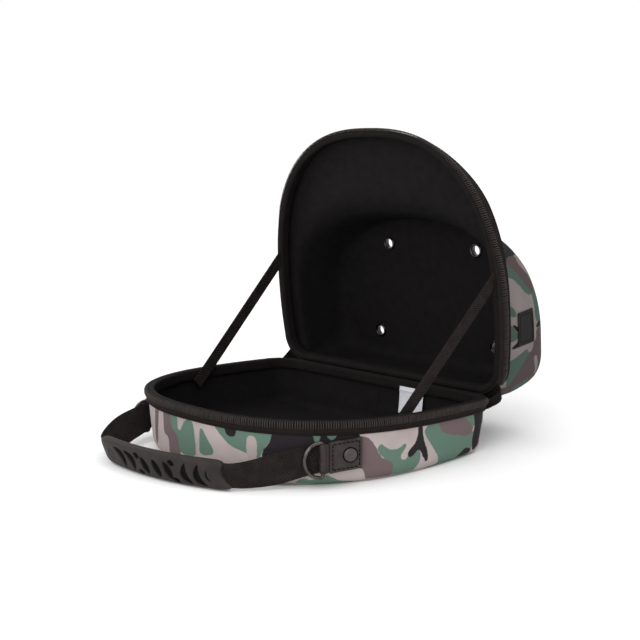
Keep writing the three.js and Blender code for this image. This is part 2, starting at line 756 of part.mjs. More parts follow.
// Carry strap: from under one tab, along the tray's side, through the grip and back to the other tab
function carryStrap() {
  const sewnPart = (side) => {
    const places = [];
    for (let i = 0; i <= SEWN_STEPS; i += 1) {
      const along = TAB_LENGTH * i / SEWN_STEPS;
      places.push(besideTray(side, along, WEB_THICKNESS / 2, tabZ(along)));
    }
    return places;
  };
  const freePart = (side) => STRAP_FREE[side].map(({ x, y, z }) => new THREE.Vector3(x, y, z));
  const half = GRIP_LENGTH / 2 + STRAP_PAST_GRIP;
  const inGrip = [];
  for (let i = 0; i <= STRAP_GRIP_STEPS; i += 1) {
    inGrip.push(gripPlace(half - 2 * half * i / STRAP_GRIP_STEPS));
  }
  const stations = [
    ...sewnPart(1), ...freePart("right"), ...inGrip,
    ...freePart("left").reverse(), ...sewnPart(-1).reverse(),
  ];
  return strap(stations.map((at) => ({ at, across: UP })), WEB_WIDTH, WEB_THICKNESS);
}

// Sewn patch lying on the lid's right side
function patch() {
  const domeSide = (fromHinge, depth) => {
    const share = (depth - DOME_FOOT.z) / (DOME_HEAD.z - DOME_FOOT.z);
    return THREE.MathUtils.lerp(halfWidthAt(DOME_FOOT, fromHinge), halfWidthAt(DOME_HEAD, fromHinge), share);
  };
  const points = [];
  for (const out of [PATCH.clear, PATCH.clear + PATCH.thickness]) {
    for (let i = 0; i < PATCH.rows; i += 1) {
      for (let k = 0; k < PATCH.rows; k += 1) {
        const fromHinge = PATCH.fromHinge + PATCH.length * (i / (PATCH.rows - 1) - 0.5);
        const depth = PATCH.depth + PATCH.height * (k / (PATCH.rows - 1) - 0.5);
        const x = domeSide(fromHinge, depth) + out;
        points.push(new THREE.Vector3(x, -fromHinge, depth));
      }
    }
  }
  const n = PATCH.rows;
  const layer = n * n;
  const triangles = [];
  const quad = (a, b, c, d) => triangles.push([a, b, c], [a, c, d]);
  for (let i = 0; i < n - 1; i += 1) {
    for (let k = 0; k < n - 1; k += 1) {
      const a = i * n + k;
      quad(a, a + 1, a + n + 1, a + n);
      quad(layer + a, layer + a + n, layer + a + n + 1, layer + a + 1);
    }
    quad(i * n, (i + 1) * n, layer + (i + 1) * n, layer + i * n);
    quad(i * n + n - 1, layer + i * n + n - 1, layer + (i + 1) * n + n - 1, (i + 1) * n + n - 1);
    quad(i, layer + i, layer + i + 1, i + 1);
    const far = (n - 1) * n + i;
    quad(far, far + 1, layer + far + 1, layer + far);
  }
  return body(points, triangles);
}

// Plain zip slider with its pull, parked at the far end of the tray's zip
function slider() {
  const block = new THREE.BoxGeometry(SLIDER.thickness, SLIDER.length, SLIDER.height);
  const pull = new THREE.BoxGeometry(PULL.thickness, PULL.width, PULL.length);
  pull.translate(-(SLIDER.thickness + PULL.thickness) / 2 + PULL.sunk, 0, -PULL.length / 2);
  return fromSolid(toSolid(block).add(toSolid(pull)));
}

const carrier = new THREE.Group();
const trayFrame = new THREE.Group();
trayFrame.position.y = HINGE_Y;
carrier.add(trayFrame);

const tray = shellAndLining(trayRings(), 1);
const trayRim = outline(RIM_INSET, rimHeight);
trayFrame.add(mesh("tray_shell", tray.shell, "camo"));
trayFrame.add(mesh("tray_lining", tray.lining, "lining"));
trayFrame.add(mesh("tray_zip", zipHalf(trayRim, UP), "coil"));
trayFrame.add(mesh("tray_binding", rimBinding(trayRim, UP), "webbing"));

const lidFrame = new THREE.Group();
lidFrame.position.copy(lidHinge);
lidFrame.rotation.x = -lidTurn;
carrier.add(lidFrame);

const lid = shellAndLining(lidRings(), -1);
const lidRim = outline(RIM_INSET, 0);
const intoLid = new THREE.Vector3(0, 0, -1);
const holes = EYELETS.map(eyeletHole);
lidFrame.add(mesh("lid_shell", cut(lid.shell, holes), "camo"));
lidFrame.add(mesh("lid_lining", cut(lid.lining, holes), "lining"));
lidFrame.add(mesh("lid_zip", zipHalf(lidRim, intoLid), "coil"));
lidFrame.add(mesh("lid_binding", rimBinding(lidRim, intoLid), "webbing"));
for (const { name, x, fromHinge } of EYELETS) {
  const made = mesh(name, eyelet(), "steel");
  made.position.set(x, -fromHinge, 0);
  lidFrame.add(made);
}
lidFrame.add(mesh("side_patch", patch(), "webbing"));

carrier.add(mesh("hinge_strip", hingeStrip(), "webbing"));
carrier.add(mesh("carry_strap", carryStrap(), "webbing"));

for (const [name, side] of [["left", -1], ["right", 1]]) {
  carrier.add(mesh(`stay_${name}`, stay(side), "webbing"));
  carrier.add(mesh(`tab_${name}`, tab(side), "leather"));
  carrier.add(placeRivet(mesh(`rivet_${name}`, rivet(), "gunmetal"), side));
  carrier.add(mesh(`d_ring_${name}`, ring(side), "gunmetal"));
}

const gripMesh = mesh("grip", grip(), "rubber");
gripMesh.position.copy(GRIP_PLACE);
gripMesh.rotation.z = gripTurn;
carrier.add(gripMesh);

const label = new THREE.BoxGeometry(LABEL.width, LABEL.thickness, LABEL.height);
const labelMesh = mesh("care_label", label, "label");
const bindingInside = RIM_INSET + SHELL_THICKNESS + LINING_GAP + LINING_THICKNESS + GAP + BINDING_THICKNESS;
labelMesh.position.set(
  LABEL.x,
  HINGE_Y - bindingInside - BINDING_LEAN - GAP - LABEL.thickness / 2,
  TRAY_HEIGHT - LABEL.top - LABEL.height / 2,
);
carrier.add(labelMesh);

const sliderMesh = mesh("zip_slider", slider(), "gunmetal");
const sliderSide = { half: CASE_HALF_WIDTH - RIM_INSET, front: CASE_LENGTH };
sliderMesh.position.set(
  -halfWidthAt(sliderSide, SLIDER.fromHinge) - COIL_OUT - GAP - SLIDER.thickness / 2,
  HINGE_Y - SLIDER.fromHinge,
  TRAY_HEIGHT - (COIL_TOP + COIL_BOTTOM) / 2,
);
carrier.add(sliderMesh);

export default carrier;
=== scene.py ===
"""Looks of an open, zipped carrier for caps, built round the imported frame.

Sizes are in millimetres until a mesh is made.
"""
import math

import bpy
import numpy as np
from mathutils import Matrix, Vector, noise


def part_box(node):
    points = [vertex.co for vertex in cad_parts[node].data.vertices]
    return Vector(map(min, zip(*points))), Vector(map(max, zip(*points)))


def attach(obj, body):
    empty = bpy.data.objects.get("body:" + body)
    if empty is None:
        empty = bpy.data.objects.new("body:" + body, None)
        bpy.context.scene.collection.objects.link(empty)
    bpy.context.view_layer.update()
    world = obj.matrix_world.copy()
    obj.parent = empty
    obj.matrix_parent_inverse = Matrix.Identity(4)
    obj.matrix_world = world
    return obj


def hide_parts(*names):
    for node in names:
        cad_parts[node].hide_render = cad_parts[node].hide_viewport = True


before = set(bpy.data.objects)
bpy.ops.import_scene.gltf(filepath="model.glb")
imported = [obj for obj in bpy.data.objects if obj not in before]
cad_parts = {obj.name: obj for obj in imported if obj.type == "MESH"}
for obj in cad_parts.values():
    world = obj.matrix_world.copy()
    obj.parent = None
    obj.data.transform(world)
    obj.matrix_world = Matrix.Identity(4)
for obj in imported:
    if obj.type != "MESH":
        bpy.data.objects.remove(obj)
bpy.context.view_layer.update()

MM = 0.001
# Noise vectors follow the clock unless they are seeded
NOISE_SEED = 1
noise.seed_set(NOISE_SEED)
ACROSS = np.array([1.0, 0.0, 0.0])
BACK = np.array([0.0, 1.0, 0.0])
UP = np.array([0.0, 0.0, 1.0])

# Case outline and walls
CASE_LENGTH = 256.0
CASE_HALF = 153.0
NARROWING = 8.0
WIDEST = 80.0
FRONT_POWER = 2.5
HINGE_Y = 128.0
CORNER = 31.0
LEAST_CORNER = 6.0
TRAY_HEIGHT = 53.0
RIM_RISE = 6.5
RIM_INSET = 4.0
EDGE_BELOW_RIM = 2.5
WALL_LEAN = 1.0
WALL_CURVE = 2.0
FILLET_START = RIM_INSET + WALL_LEAN + WALL_CURVE
BOTTOM_INSET = 17.0
FILLET_HEIGHT = 15.0
SHELL = 2.5
LINING_START = 3.0
LINING = 1.0
LID_DEPTH = 89.0
LID_TURN = math.radians(84.3)
LID_HINGE_Z = 47.5
RING_POINTS = 420

# Sections of the lid at each depth behind its rim
LID_COLUMNS = ("half", "front", "hinge", "corner", "power", "widest", "narrowing", "z")
LID_ROWS = [
    (149, 251.8, 4, 27, 2.5, 80, 8, 2.5),
    (148.8, 250.2, 2.5, 26, 2.5, 80, 8, 8),
    (148.4, 247.4, 0.2, 24, 2.5, 80, 8, 14),
    (147.2, 244, -3, 20, 2.5, 80, 8, 19.8),
    (145.4, 236, -5, 18, 2.5, 80, 8, 22.2),
    (144.6, 200, -5.2, 17, 2.5, 79, 8, 22.5),
    (144.2, 186, -5.4, 16, 2.4, 78, 8, 24),
    (143.8, 176, -5.7, 16, 2.4, 75, 7.5, 29),
    (144, 167, -6.4, 17, 2.45, 70, 6.5, 39),
    (142, 160, -8, 31, 2.45, 52, 3, 71),
    (139.5, 158.5, -7, 33, 2.45, 47, 2, 80),
    (134.5, 155, -3, 36, 2.45, 45, 1, 87),
    (125, 147, 5, 36, 2.45, 45, 1, 89),
]
# Rows of that table at the foot and at the head of the dome's side
DOME_FOOT = 8
DOME_HEAD = 9
# The standing lid leans a little to the left, between these distances from the hinge
LID_SIDE_LEAN = 3.0
SIDE_LEAN_SPAN = (100, 240)

# Eyelets: place across and distance from the hinge
EYELETS = {
    "eyelet_top_left": (-59.5, 123.5),
    "eyelet_top_right": (59.5, 123.5),
    "eyelet_low_left": (-80, 24),
    "eyelet_low_right": (80, 24),
}
HOLE_RADIUS = 5.8
HOLE_REACH = 12.0
HOLE_SIDES = 32


# Colour and shader helpers

def srgb(red, green, blue):
    """Linear colour with alpha from eight-bit screen values."""
    shares = [value / 255 for value in (red, green, blue)]
    linear = [s / 12.92 if s <= 0.04045 else ((s + 0.055) / 1.055) ** 2.4 for s in shares]
    return (*linear, 1.0)


def shader(name, **constants):
    """A new material with constant values set on its surface shader."""
    material = bpy.data.materials.new(name)
    material.use_nodes = True
    surface = material.node_tree.nodes["Principled BSDF"]
    for socket, value in constants.items():
        surface.inputs[socket.replace("_", " ")].default_value = value
    return material, material.node_tree, surface


def wire(surface, **sockets):
    """Links into a shader, by the names of its inputs."""
    for name, socket in sockets.items():
        surface.id_data.links.new(socket, surface.inputs[name.replace("_", " ")])


def add(tree, kind, sockets=None, **settings):
    """A new node; its sockets take values or other sockets, by name or by number."""
    made = tree.nodes.new(kind)
    for name, value in settings.items():
        setattr(made, name, value)
    for name, value in (sockets or {}).items():
        if isinstance(value, bpy.types.NodeSocket):
            tree.links.new(value, made.inputs[name])
        else:
            made.inputs[name].default_value = value
    return made


def calc(tree, operation, *values):
    return add(tree, "ShaderNodeMath", dict(enumerate(values)), operation=operation).outputs[0]


def rescale(tree, value, low, high, first=0.0, last=1.0):
    """A value carried from one range to another and kept within it."""
    ranges = {"Value": value, "From Min": low, "From Max": high, "To Min": first, "To Max": last}
    return add(tree, "ShaderNodeMapRange", ranges).outputs[0]


def attribute(tree, name, output="Fac"):
    return add(tree, "ShaderNodeAttribute", attribute_name=name).outputs[output]


def mix_colour(tree, share, first, second):
    return add(tree, "ShaderNodeMix", {0: share, 6: first, 7: second}, data_type="RGBA").outputs[2]


def object_place(tree):
    return add(tree, "ShaderNodeTexCoord").outputs["Object"]


def speckle(tree, scale, detail=3.0):
    """Noise over the object's own coordinates, in features per metre."""
    sockets = {"Vector": object_place(tree), "Scale": scale, "Detail": detail}
    return add(tree, "ShaderNodeTexNoise", sockets).outputs["Fac"]


def weave(tree, pitch_along, pitch_across):
    """Height of a plain weave with the given thread pitches, over the places in the cloth."""
    place = add(tree, "ShaderNodeSeparateXYZ", {0: attribute(tree, "cloth", "Vector")})
    first = calc(tree, "SINE", calc(tree, "MULTIPLY", place.outputs[0], math.pi / pitch_along))
    second = calc(tree, "SINE", calc(tree, "MULTIPLY", place.outputs[1], math.pi / pitch_across))
    return calc(tree, "MULTIPLY", first, second)


def bump(tree, surface, height, distance, strength=1.0):
    """Relief in the surface, its depth in metres."""
    made = add(tree, "ShaderNodeBump", {"Strength": strength, "Distance": distance, "Height": height})
    wire(surface, Normal=made.outputs[0])


# Most of a noise's values lie between these two
NOISE_SPAN = (0.3, 0.7)


def ramp_colour(tree, share, dark, light):
    """Colour between two by a noise's value."""
    return mix_colour(tree, rescale(tree, share, *NOISE_SPAN), dark, light)


# Materials

TAUPE = srgb(160, 149, 146)
TAUPE_LIGHT = srgb(170, 159, 156)
GREEN = srgb(90, 113, 101)
BROWN = srgb(103, 88, 89)
INK = srgb(36, 32, 36)
# Near black, darker than the webbing itself: the strap in the grip's slots with painted shade over it.
STRAP_AND_SHADE_IN_SLOT = srgb(4, 3, 3)
CAMO_LAYERS = [("camo_brown", BROWN), ("camo_green", GREEN), ("camo_black", INK), ("camo_light", TAUPE)]
CAMO_THREAD = 0.55
# Half width of the soft edge between two inks, and how far that edge wanders
PRINT_EDGE = 0.35
PRINT_WANDER = 1.6
SLOT_EDGE = 0.2


def camo_material(name, tone):
    """Printed cloth: flat colours divided by the distance fields stored on the mesh, scaled by tone; a tone
    below one is painted shade.
    """
    material, tree, surface = shader(name, Roughness=0.7, Specular_IOR_Level=0.08)
    wander = calc(tree, "MULTIPLY", calc(tree, "SUBTRACT", speckle(tree, 260.0, 2.0), 0.5), PRINT_WANDER)
    colour = ramp_colour(tree, speckle(tree, 45.0, 1.0), TAUPE, TAUPE_LIGHT)
    for layer, ink in CAMO_LAYERS:
        edge = calc(tree, "ADD", attribute(tree, layer), wander)
        share = rescale(tree, edge, -PRINT_EDGE, PRINT_EDGE, 1.0, 0.0)
        colour = mix_colour(tree, share, colour, ink)
    threads = weave(tree, CAMO_THREAD, CAMO_THREAD)
    # Painted shade: the print is lighter on the thread crowns than in the hollows of the weave, and the
    # whole print is scaled by tone.
    painted_shade = calc(tree, "MULTIPLY_ADD", threads, 0.05, tone)
    shade = add(tree, "ShaderNodeVectorMath", {0: colour, 1: painted_shade}, operation="MULTIPLY").outputs[0]
    wire(surface, Base_Color=shade)
    bump(tree, surface, threads, 0.00012, 0.6)
    return material


def cloth_material(name, dark, light, pitch_along, pitch_across, depth, roughness, gloss=0.2):
    """Plain woven cloth with a little unevenness of colour, and painted shade: lighter on the thread crowns,
    darker in the hollows of the weave.
    """
    material, tree, surface = shader(name, Roughness=roughness, Specular_IOR_Level=gloss)
    threads = weave(tree, pitch_along, pitch_across)
    # Painted shade of the weave: the colour is lifted on the thread crowns and stays dark in the hollows.
    lift = calc(tree, "MULTIPLY", calc(tree, "ADD", threads, 1.0), 0.3)
    tone = calc(tree, "ADD", calc(tree, "MULTIPLY", speckle(tree, 120.0), 0.5), lift)
    wire(surface, Base_Color=ramp_colour(tree, tone, srgb(*dark), srgb(*light)))
    bump(tree, surface, threads, depth)
    return material


def grained_material(name, dark, light, grain, depth, roughness, spread, gloss):
    """Leather, rubber or enamel: cell grain in the surface and patchy roughness."""
    material, tree, surface = shader(name, Specular_IOR_Level=gloss)
    sockets = {"Vector": object_place(tree), "Scale": grain}
    cells = add(tree, "ShaderNodeTexVoronoi", sockets, feature="DISTANCE_TO_EDGE").outputs["Distance"]
    patch = speckle(tree, 90.0)
    wire(surface, Base_Color=ramp_colour(tree, patch, srgb(*dark), srgb(*light)),
         Roughness=rescale(tree, patch, *NOISE_SPAN, roughness - spread, roughness + spread))
    bump(tree, surface, rescale(tree, cells, 0.0, 0.25), depth, 0.7)
    return material


def grip_material():
    """Moulded rubber; the slots cut into its face are coloured near black: the dark strap under them, and
    painted shade for the depth of the openings.
    """
    material = grained_material("grip_rubber", (40, 35, 35), (51, 46, 45), 2600.0, 0.00008, 0.5, 0.08, 0.1)
    tree = material.node_tree
    surface = tree.nodes["Principled BSDF"]
    rubber = surface.inputs["Base Color"].links[0].from_socket
    # Painted shade: the inside of each slot is coloured near black.
    inside = rescale(tree, attribute(tree, "slot"), -SLOT_EDGE, SLOT_EDGE, 1.0, 0.0)
    wire(surface, Base_Color=mix_colour(tree, inside, rubber, STRAP_AND_SHADE_IN_SLOT))
    return material


def metal_material(name, dark, light, roughness):
    """Plated metal with fine scuffs."""
    material, tree, surface = shader(name, Metallic=1.0)
    scuffs = speckle(tree, 900.0, 4.0)
    wire(surface, Base_Color=ramp_colour(tree, speckle(tree, 150.0), srgb(*dark), srgb(*light)),
         Roughness=rescale(tree, scuffs, 0.0, 1.0, roughness - 0.08, roughness + 0.12))
    bump(tree, surface, scuffs, 0.00003, 0.5)
    return material


CAMO = camo_material("camo_cloth", 1.03)
# The lid's copy of the print is half as bright as the tray's: painted shade, standing in for the shade that
# the lid's dome lies in.
SHADED_LID_CAMO = camo_material("camo_cloth_lid_shaded", 0.5)
# Cloths: dark and light, thread pitches along and across, depth in metres, roughness and gloss
LINING_CLOTH = cloth_material("lining_cloth", (16, 14, 15), (26, 24, 25), 0.8, 0.8, 0.00015, 0.95, 0.08)
WEBBING = cloth_material("webbing", (7, 6, 6), (48, 41, 40), 1.2, 1.3, 0.0007, 0.75, 0.1)
RIBBED_TAPE = cloth_material("ribbed_tape", (12, 10, 10), (27, 24, 23), 0.9, 1.4, 0.0002, 0.8, 0.08)
ZIP_TAPE = cloth_material("zip_tape", (20, 16, 15), (33, 28, 26), 0.7, 0.9, 0.00015, 0.75, 0.08)
COIL = cloth_material("zip_coil", (36, 32, 30), (64, 58, 56), 0.7, 0.9, 0.0001, 0.5, 0.15)
PATCH_CLOTH = cloth_material("patch_cloth", (20, 17, 17), (33, 29, 29), 0.9, 0.9, 0.0003, 0.8)
LABEL_CLOTH = cloth_material("label_cloth", (188, 189, 196), (222, 222, 228), 0.6, 0.35, 0.0001, 0.45)
THREAD = cloth_material("thread", (5, 4, 4), (16, 14, 14), 0.5, 0.5, 0.0001, 0.8, 0.08)
# Grained: dark and light, cells per metre, depth in metres, roughness, its spread and gloss
LEATHER = grained_material("tab_leather", (34, 27, 27), (54, 46, 45), 1300.0, 0.00025, 0.42, 0.12, 0.25)
RUBBER = grip_material()
GUNMETAL = metal_material("gunmetal", (56, 52, 50), (96, 91, 88), 0.28)
SNAP_ENAMEL = grained_material("snap_enamel", (64, 57, 56), (78, 70, 69), 3000.0, 0.00004, 0.4, 0.06, 0.25)
STEEL = metal_material("eyelet_metal", (38, 35, 34), (74, 70, 68), 0.2)


# Mesh helpers; a shape is its points, its faces and its places in the cloth or None

def add_object(name, data, place=(0, 0, 0), turn=(0, 0, 0)):
    """A new object in the scene at a place in metres."""
    made = bpy.data.objects.new(name, data)
    made.location = place
    made.rotation_euler = turn
    bpy.context.scene.collection.objects.link(made)
    return made


def make_mesh(name, shape, material, fields=None):
    """A smooth mesh object, its faces turned out, with cloth places and named fields if it has them."""
    points, faces, cloth = shape
    points = np.asarray(points, float) * MM
    mesh = bpy.data.meshes.new(name)
    mesh.from_pydata(points.tolist(), [], faces)
    mesh.update()
    volume = sum(face.center.dot(face.normal) * face.area for face in mesh.polygons)
    if volume < 0:
        mesh.flip_normals()
    mesh.shade_smooth()
    if cloth is not None:
        layer = mesh.attributes.new("cloth", "FLOAT_VECTOR", "POINT")
        flat = np.zeros((len(points), 3), np.float32)
        flat[:, :2] = cloth
        layer.data.foreach_set("vector", flat.ravel())
    for field, values in (fields or {}).items():
        layer = mesh.attributes.new(field, "FLOAT", "POINT")
        layer.data.foreach_set("value", np.asarray(values, np.float32))
    mesh.materials.append(material)
    return add_object(name, mesh)


def settle(piece, slot, *nodes):
    """The piece rides on the one body and stands for CAD nodes; its slot is not used."""
    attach(piece, "root")
    if nodes:
        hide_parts(*nodes)
    return piece


def add_piece(name, shape, material, slot, *nodes, fields=None):
    return settle(make_mesh(name, shape, material, fields), slot, *nodes)


def smooth_step(value, low, high):
    share = np.clip((value - low) / (high - low), 0, 1)
    return share * share * (3 - 2 * share)


def unit(vectors):
    return vectors / np.maximum(np.linalg.norm(vectors, axis=-1, keepdims=True), 1e-9)


def run_along(line):
    """Distance travelled along a line of points, at each of them."""
    return np.concatenate([[0], np.cumsum(np.linalg.norm(np.diff(np.asarray(line, float), axis=0), axis=1))])


def at_places(values, run, places):
    """Rows of values known along a run, read at other places on it."""
    return np.stack([np.interp(places, run, column) for column in np.asarray(values, float).T], axis=-1)


def resample(line, count):
    """Evenly spaced points along a line of points."""
    run = run_along(line)
    return at_places(line, run, np.linspace(0, run[-1], count))


def curve_through(points, count):
    """Evenly spaced points on a smooth curve through given points."""
    points = np.asarray(points, float)
    padded = np.vstack([2 * points[0] - points[1], points, 2 * points[-1] - points[-2]])
    dense = []
    for p0, p1, p2, p3 in zip(padded, padded[1:], padded[2:], padded[3:]):
        for t in np.linspace(0, 1, 24, endpoint=False):
            square = (2 * p0 - 5 * p1 + 4 * p2 - p3) * t ** 2
            cube = (3 * p1 - p0 - 3 * p2 + p3) * t ** 3
            dense.append(0.5 * (2 * p1 + (p2 - p0) * t + square + cube))
    dense.append(points[-1])
    return resample(dense, count)


def cut_corners(rows, times):
    """Rows of values smoothed by cutting their corners, the first and last kept."""
    rows = np.asarray(rows, float)
    for _ in range(times):
        near = 0.75 * rows[:-1] + 0.25 * rows[1:]
        far = 0.25 * rows[:-1] + 0.75 * rows[1:]
        between = np.stack([near, far], axis=1).reshape(-1, rows.shape[1])
        rows = np.vstack([rows[:1], between[1:-1], rows[-1:]])
    return rows


def tangents(path, closed=False):
    if closed:
        return unit(np.roll(path, -1, axis=0) - np.roll(path, 1, axis=0))
    return unit(np.gradient(path, axis=0))


def side_normals(line):
    """Unit normals of a flat line, to the left of its heading."""
    heading = tangents(line)
    return np.stack([-heading[:, 1], heading[:, 0]], axis=1)


def circle(sides):
    """Points round a circle of radius one."""
    turn = np.linspace(0, 2 * np.pi, sides, endpoint=False)
    return np.stack([np.cos(turn), np.sin(turn)], axis=1)


def squared_circle(points):
    """A circle's points pushed out towards a square."""
    return np.sign(points) * np.abs(points) ** 0.5


def along_sides(corners, steps):
    """Evenly spaced points on each side of a closed outline."""
    corners = np.asarray(corners, float)
    shares = np.linspace(0, 1, steps, endpoint=False)[:, None]
    return np.vstack([a + (b - a) * shares for a, b in zip(corners, np.roll(corners, -1, axis=0))])


def grid(rows, columns, wrap, start=0):
    """Quads over rows of points, each row closed on itself if wrapped."""
    faces = []
    last = columns if wrap else columns - 1
    for row in range(rows - 1):
        a = start + row * columns
        b = a + columns
        for i in range(last):
            j = (i + 1) % columns
            faces.append((a + i, a + j, b + j, b + i))
    return faces


def turned(faces):
    return [tuple(reversed(face)) for face in faces]


def end_caps(rows, columns):
    """Faces over the first and the last of some rings of points."""
    last = (rows - 1) * columns
    return [tuple(range(columns)), tuple(last + i for i in reversed(range(columns)))]


def cloth_grid(along, across):
    """Cloth places at each crossing of two lists of distances."""
    return np.stack(np.meshgrid(along, across, indexing="ij"), axis=-1).reshape(-1, 2)


def sweep(path, outs, ups, section, closed=False):
    """Shape of a section of (out, up) points, or one for each station, carried along a path."""
    path = np.asarray(path, float)
    outs = np.broadcast_to(outs, path.shape)
    ups = np.broadcast_to(ups, path.shape)
    section = np.asarray(section, float)
    if section.ndim == 2:
        section = np.repeat(section[None], len(path), axis=0)
    points = path[:, None] + section[:, :, :1] * outs[:, None] + section[:, :, 1:] * ups[:, None]
    stations, sides = points.shape[:2]
    faces = grid(stations, sides, True)
    if closed:
        tail = (stations - 1) * sides
        faces += [(tail + i, tail + (i + 1) % sides, (i + 1) % sides, i) for i in range(sides)]
    else:
        faces += end_caps(stations, sides)
    return points.reshape(-1, 3), faces, cloth_grid(run_along(path), run_along(section[0]))


def two_sided(front, back, rows, columns, cloth=None):
    """Shape of a thin piece from the grids of its two sides."""
    count = rows * columns
    faces = grid(rows, columns, False) + turned(grid(rows, columns, False, count))
    border = list(range(columns)) + [r * columns + columns - 1 for r in range(1, rows)]
    border += [(rows - 1) * columns + i for i in reversed(range(columns - 1))]
    border += [r * columns for r in reversed(range(1, rows - 1))]
    for a, b in zip(border, border[1:] + border[:1]):
        faces.append((b, a, count + a, count + b))
    return np.vstack([front, back]), faces, None if cloth is None else np.vstack([cloth, cloth])


def lathe(profile, sides, place):
    """Shape of a ring of revolution from (radius, height) points, set by a placing function."""
    profile = np.asarray(profile, float)
    rows = [np.column_stack([profile[:, :1] * at, profile[:, 1]]) for at in circle(sides)]
    count = len(profile)
    faces = []
    for k in range(sides):
        a, b = k * count, (k + 1) % sides * count
        for i in range(count):
            j = (i + 1) % count
            faces.append((a + i, b + i, b + j, a + j))
    return place(np.vstack(rows)), faces, None


def join_parts(parts):
    """One shape from several; it has cloth places if the first has."""
    faces = []
    count = 0
    for part_points, part_faces, _ in parts:
        faces += [tuple(count + i for i in face) for face in part_faces]
        count += len(part_points)
    points, _, cloths = zip(*parts)
    return np.vstack(points), faces, None if cloths[0] is None else np.vstack(cloths)


def strap_section(width, thickness):
    """A flat woven band with soft selvages."""
    half, thick = width / 2, thickness / 2
    across = [-half, -half + 0.5, -half + 1.6, -half / 2, 0, half / 2, half - 1.6, half - 0.5, half]
    lift = [0.35, 0.95, 1.08, 0.94, 0.94, 0.94, 1.08, 0.95, 0.35]
    front = [(thick * rise, place) for place, rise in zip(across, lift)]
    return front + [(-out, place) for out, place in reversed(front)]


# Stations of a stitch: share of its length and of its radius
STITCH_STATIONS = [(0.0, 0.35), (0.12, 0.85), (0.5, 1.0), (0.88, 0.85), (1.0, 0.35)]
STITCH_FLATNESS = 0.7


def stitch(start, end, out, radius):
    """A short rounded stitch from start to end, flattened against what it lies on."""
    side = unit(np.cross(out, unit(end - start)))
    path = [start + (end - start) * share + out * radius * 0.5 * size for share, size in STITCH_STATIONS]
    section = circle(6) * [STITCH_FLATNESS, 1] * radius
    return sweep(path, out, side, [section * size for _, size in STITCH_STATIONS])


def stitch_row(path, outs, length, gap, radius):
    """Shape of the stitches along a path that lies on a surface."""
    run = run_along(path)
    count = max(int(run[-1] / (length + gap)), 1)
    pitch = run[-1] / count
    parts = []
    for k in range(count):
        first = k * pitch + gap / 2
        last = first + pitch - gap
        out = unit(at_places(outs, run, (first + last) / 2))
        parts.append(stitch(at_places(path, run, first), at_places(path, run, last), out, radius))
    return join_parts(parts)


# Case outline and its rings

def half_width(row, distance):
    """Half width of a D section at distances from the hinge line."""
    distance = np.asarray(distance, float)
    near = row["half"] - row["narrowing"] * ((row["widest"] - distance) / row["widest"]) ** 2
    share = np.clip((distance - row["widest"]) / (row["front"] - row["widest"]), 0, 1)
    far = row["half"] * (1 - share ** row["power"]) ** (1 / row["power"])
    return np.where(distance < row["widest"], near, far)


def d_ring(row, count):
    """Evenly spaced points round a D section, from the hinge's middle by the left to the front and back."""
    side_start = row["hinge"] + row["corner"]
    corner_x = half_width(row, side_start) - row["corner"]
    left = [(-corner_x * t, -row["hinge"]) for t in np.linspace(0, 1, 40, endpoint=False)]
    for turn in np.linspace(0, math.pi / 2, 24, endpoint=False):
        x = -corner_x - row["corner"] * math.sin(turn)
        left.append((x, -side_start + row["corner"] * math.cos(turn)))
    for distance in np.linspace(side_start, row["widest"], 40, endpoint=False):
        left.append((-half_width(row, distance), -distance))
    for turn in np.linspace(0, math.pi / 2, 120):
        reach = math.sin(turn) ** (2 / row["power"])
        across = max(math.cos(turn), 0.0) ** (2 / row["power"])
        left.append((-row["half"] * across, -row["widest"] - (row["front"] - row["widest"]) * reach))
    left = resample(left, count // 2 + 1)
    right = left[-2:0:-1] * [-1, 1]
    return np.vstack([left, right])


def level_ring(row, count, z):
    return np.column_stack([d_ring(row, count), np.full(count, z)])


def outline_row(inset):
    """The case's outline, moved in by an inset."""
    return {
        "half": CASE_HALF - inset, "front": CASE_LENGTH - inset, "hinge": inset,
        "corner": max(CORNER - inset, LEAST_CORNER), "power": FRONT_POWER, "widest": WIDEST,
        "narrowing": NARROWING,
    }


def rim_height(y):
    return TRAY_HEIGHT - RIM_RISE * y / CASE_LENGTH


def ring_outs(ring):
    """Outward directions in the ring's own plane."""
    along = tangents(ring[:, :2], True)
    return np.stack([along[:, 1], -along[:, 0], np.zeros(len(ring))], axis=1)


def tray_world(points):
    return np.asarray(points, float) + [0, HINGE_Y, 0]


def lid_world(points):
    """Lid places (x, minus distance from the hinge, depth) in the case's frame."""
    points = np.asarray(points, float)
    x, y, z = points[..., 0], points[..., 1], points[..., 2]
    x = x - LID_SIDE_LEAN * smooth_step(-y, *SIDE_LEAN_SPAN)
    cos, sin = math.cos(LID_TURN), math.sin(LID_TURN)
    return np.stack([x, HINGE_Y + y * cos + z * sin, LID_HINGE_Z - y * sin + z * cos], axis=-1)


def towards_middle(ring, count):
    """Rings that shrink a flat ring to a small one about its middle."""
    middle = ring.mean(axis=0)
    shares = np.linspace(1, 0.02, count + 1)[1:]
    return [middle + (ring - middle) * share for share in shares]


def tray_rings():
    """Rings of the tray's outer wall from the rim down, over the fillet and in to the bottom's middle."""
    rings = []
    for share in np.linspace(0, 1, 15):
        flat = d_ring(outline_row(RIM_INSET + WALL_LEAN * share + WALL_CURVE * share ** 2), RING_POINTS)
        top = rim_height(flat[:, 1]) - EDGE_BELOW_RIM
        rings.append(np.column_stack([flat, top + (FILLET_HEIGHT - top) * share]))
    for turn in np.linspace(0, math.pi / 2, 11)[1:]:
        inset = FILLET_START + (BOTTOM_INSET - FILLET_START) * (1 - math.cos(turn))
        rings.append(level_ring(outline_row(inset), RING_POINTS, FILLET_HEIGHT * (1 - math.sin(turn))))
    return rings + towards_middle(rings[-1], 14)


